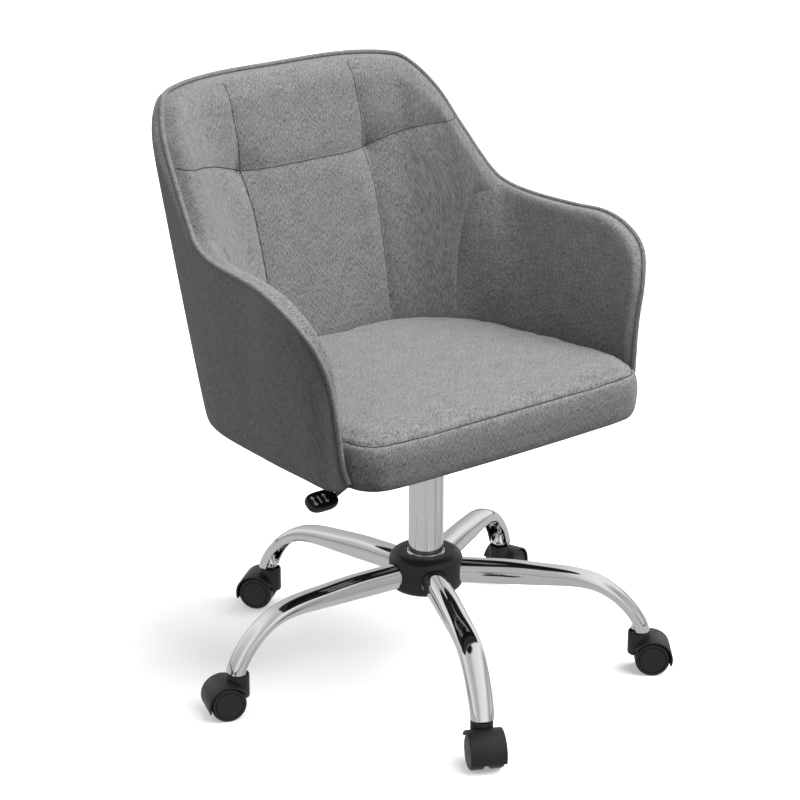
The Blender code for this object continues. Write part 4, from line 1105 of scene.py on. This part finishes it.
def make_world(back):
    """White for the camera and even for the cloth.

    The chrome sees a light room with a dark band at the horizon and a dark panel overhead.
    """
    world = bpy.data.worlds.new("studio")
    world.use_nodes = True
    bpy.context.scene.world = world
    tree = world.node_tree
    tree.nodes.clear()
    new, link = tree.nodes.new, tree.links.new
    direction = new("ShaderNodeTexCoord").outputs["Generated"]

    def along(axis):
        """How far each direction leans towards an axis, from 0 (away) to 1 (along it)."""
        lean = new("ShaderNodeVectorMath")
        lean.operation = "DOT_PRODUCT"
        link(direction, lean.inputs[0])
        lean.inputs[1].default_value = Vector(axis).normalized()
        share = new("ShaderNodeMath")
        share.operation = "MULTIPLY_ADD"
        link(lean.outputs["Value"], share.inputs[0])
        share.inputs[1].default_value = share.inputs[2].default_value = 0.5
        return share.outputs["Value"]

    def ramp(value, stops):
        made = new("ShaderNodeValToRGB")
        elements = made.color_ramp.elements
        while len(elements) < len(stops):
            elements.new(0.5)
        for element, (place, tone) in zip(elements, stops):
            element.position = place
            element.color = (tone, tone, tone, 1)
        link(value, made.inputs["Fac"])
        return made.outputs["Color"]

    def darkest(first, second):
        made = new("ShaderNodeMix")
        made.data_type, made.blend_type = "RGBA", "DARKEN"
        made.inputs["Factor"].default_value = 1.0
        link(first, made.inputs[6])
        link(second, made.inputs[7])
        return made.outputs[2]

    flat_back = Vector((back.x, back.y, 0)).normalized()
    sideways = Vector((-flat_back.y, flat_back.x, 0))
    height = along((0, 0, 1))
    room = ramp(height, ((0.0, 0.55), (0.482, 0.60), (0.490, 0.02), (0.506, 0.02), (0.515, 0.90),
                         (1.0, 1.00)))
    panel = ramp(along(Vector((0, 0, 1)) + flat_back * PANEL_LEAN),
                 ((PANEL_EDGE - 0.006, 1.0), (PANEL_EDGE, 0.01)))
    walls = ramp(along(sideways), ((0.0, 0.45), (0.16, 0.95), (0.30, 0.62), (0.50, 0.50),
                                   (0.62, 0.85), (0.80, 1.0), (0.90, 0.40), (1.0, 0.70)))
    glossy_room = darkest(darkest(room, panel), walls)
    soft = ramp(height, ((0.5, GROUND), (0.53, SKY)))
    shaders = []
    for colour in (glossy_room, soft, None):
        made = new("ShaderNodeBackground")
        made.inputs["Color"].default_value = (1, 1, 1, 1)
        if colour:
            link(colour, made.inputs["Color"])
        shaders.append(made.outputs["Background"])
    glossy, ambient, plain = shaders
    rays = new("ShaderNodeLightPath")
    lit = new("ShaderNodeMixShader")
    link(rays.outputs["Is Glossy Ray"], lit.inputs["Fac"])
    link(ambient, lit.inputs[1])
    link(glossy, lit.inputs[2])
    seen = new("ShaderNodeMixShader")
    link(rays.outputs["Is Camera Ray"], seen.inputs["Fac"])
    link(lit.outputs[0], seen.inputs[1])
    link(plain, seen.inputs[2])
    link(seen.outputs[0], new("ShaderNodeOutputWorld").inputs["Surface"])


def make_studio():
    back = make_camera()
    make_floor()
    make_world(back)
    sun("softbox", SOFTBOX_FROM, SOFTBOX_SPREAD, SOFTBOX_STRENGTH)
    sun("rear_fill", REAR_FROM, REAR_SPREAD, REAR_STRENGTH)
    bpy.context.scene.view_settings.view_transform = "Standard"


def main():
    make_studio()
    dress_frame()
    shell = make_shell()
    make_cushion(shell)
    make_base()
    make_casters()
    make_spring()
    make_paddle()


main()
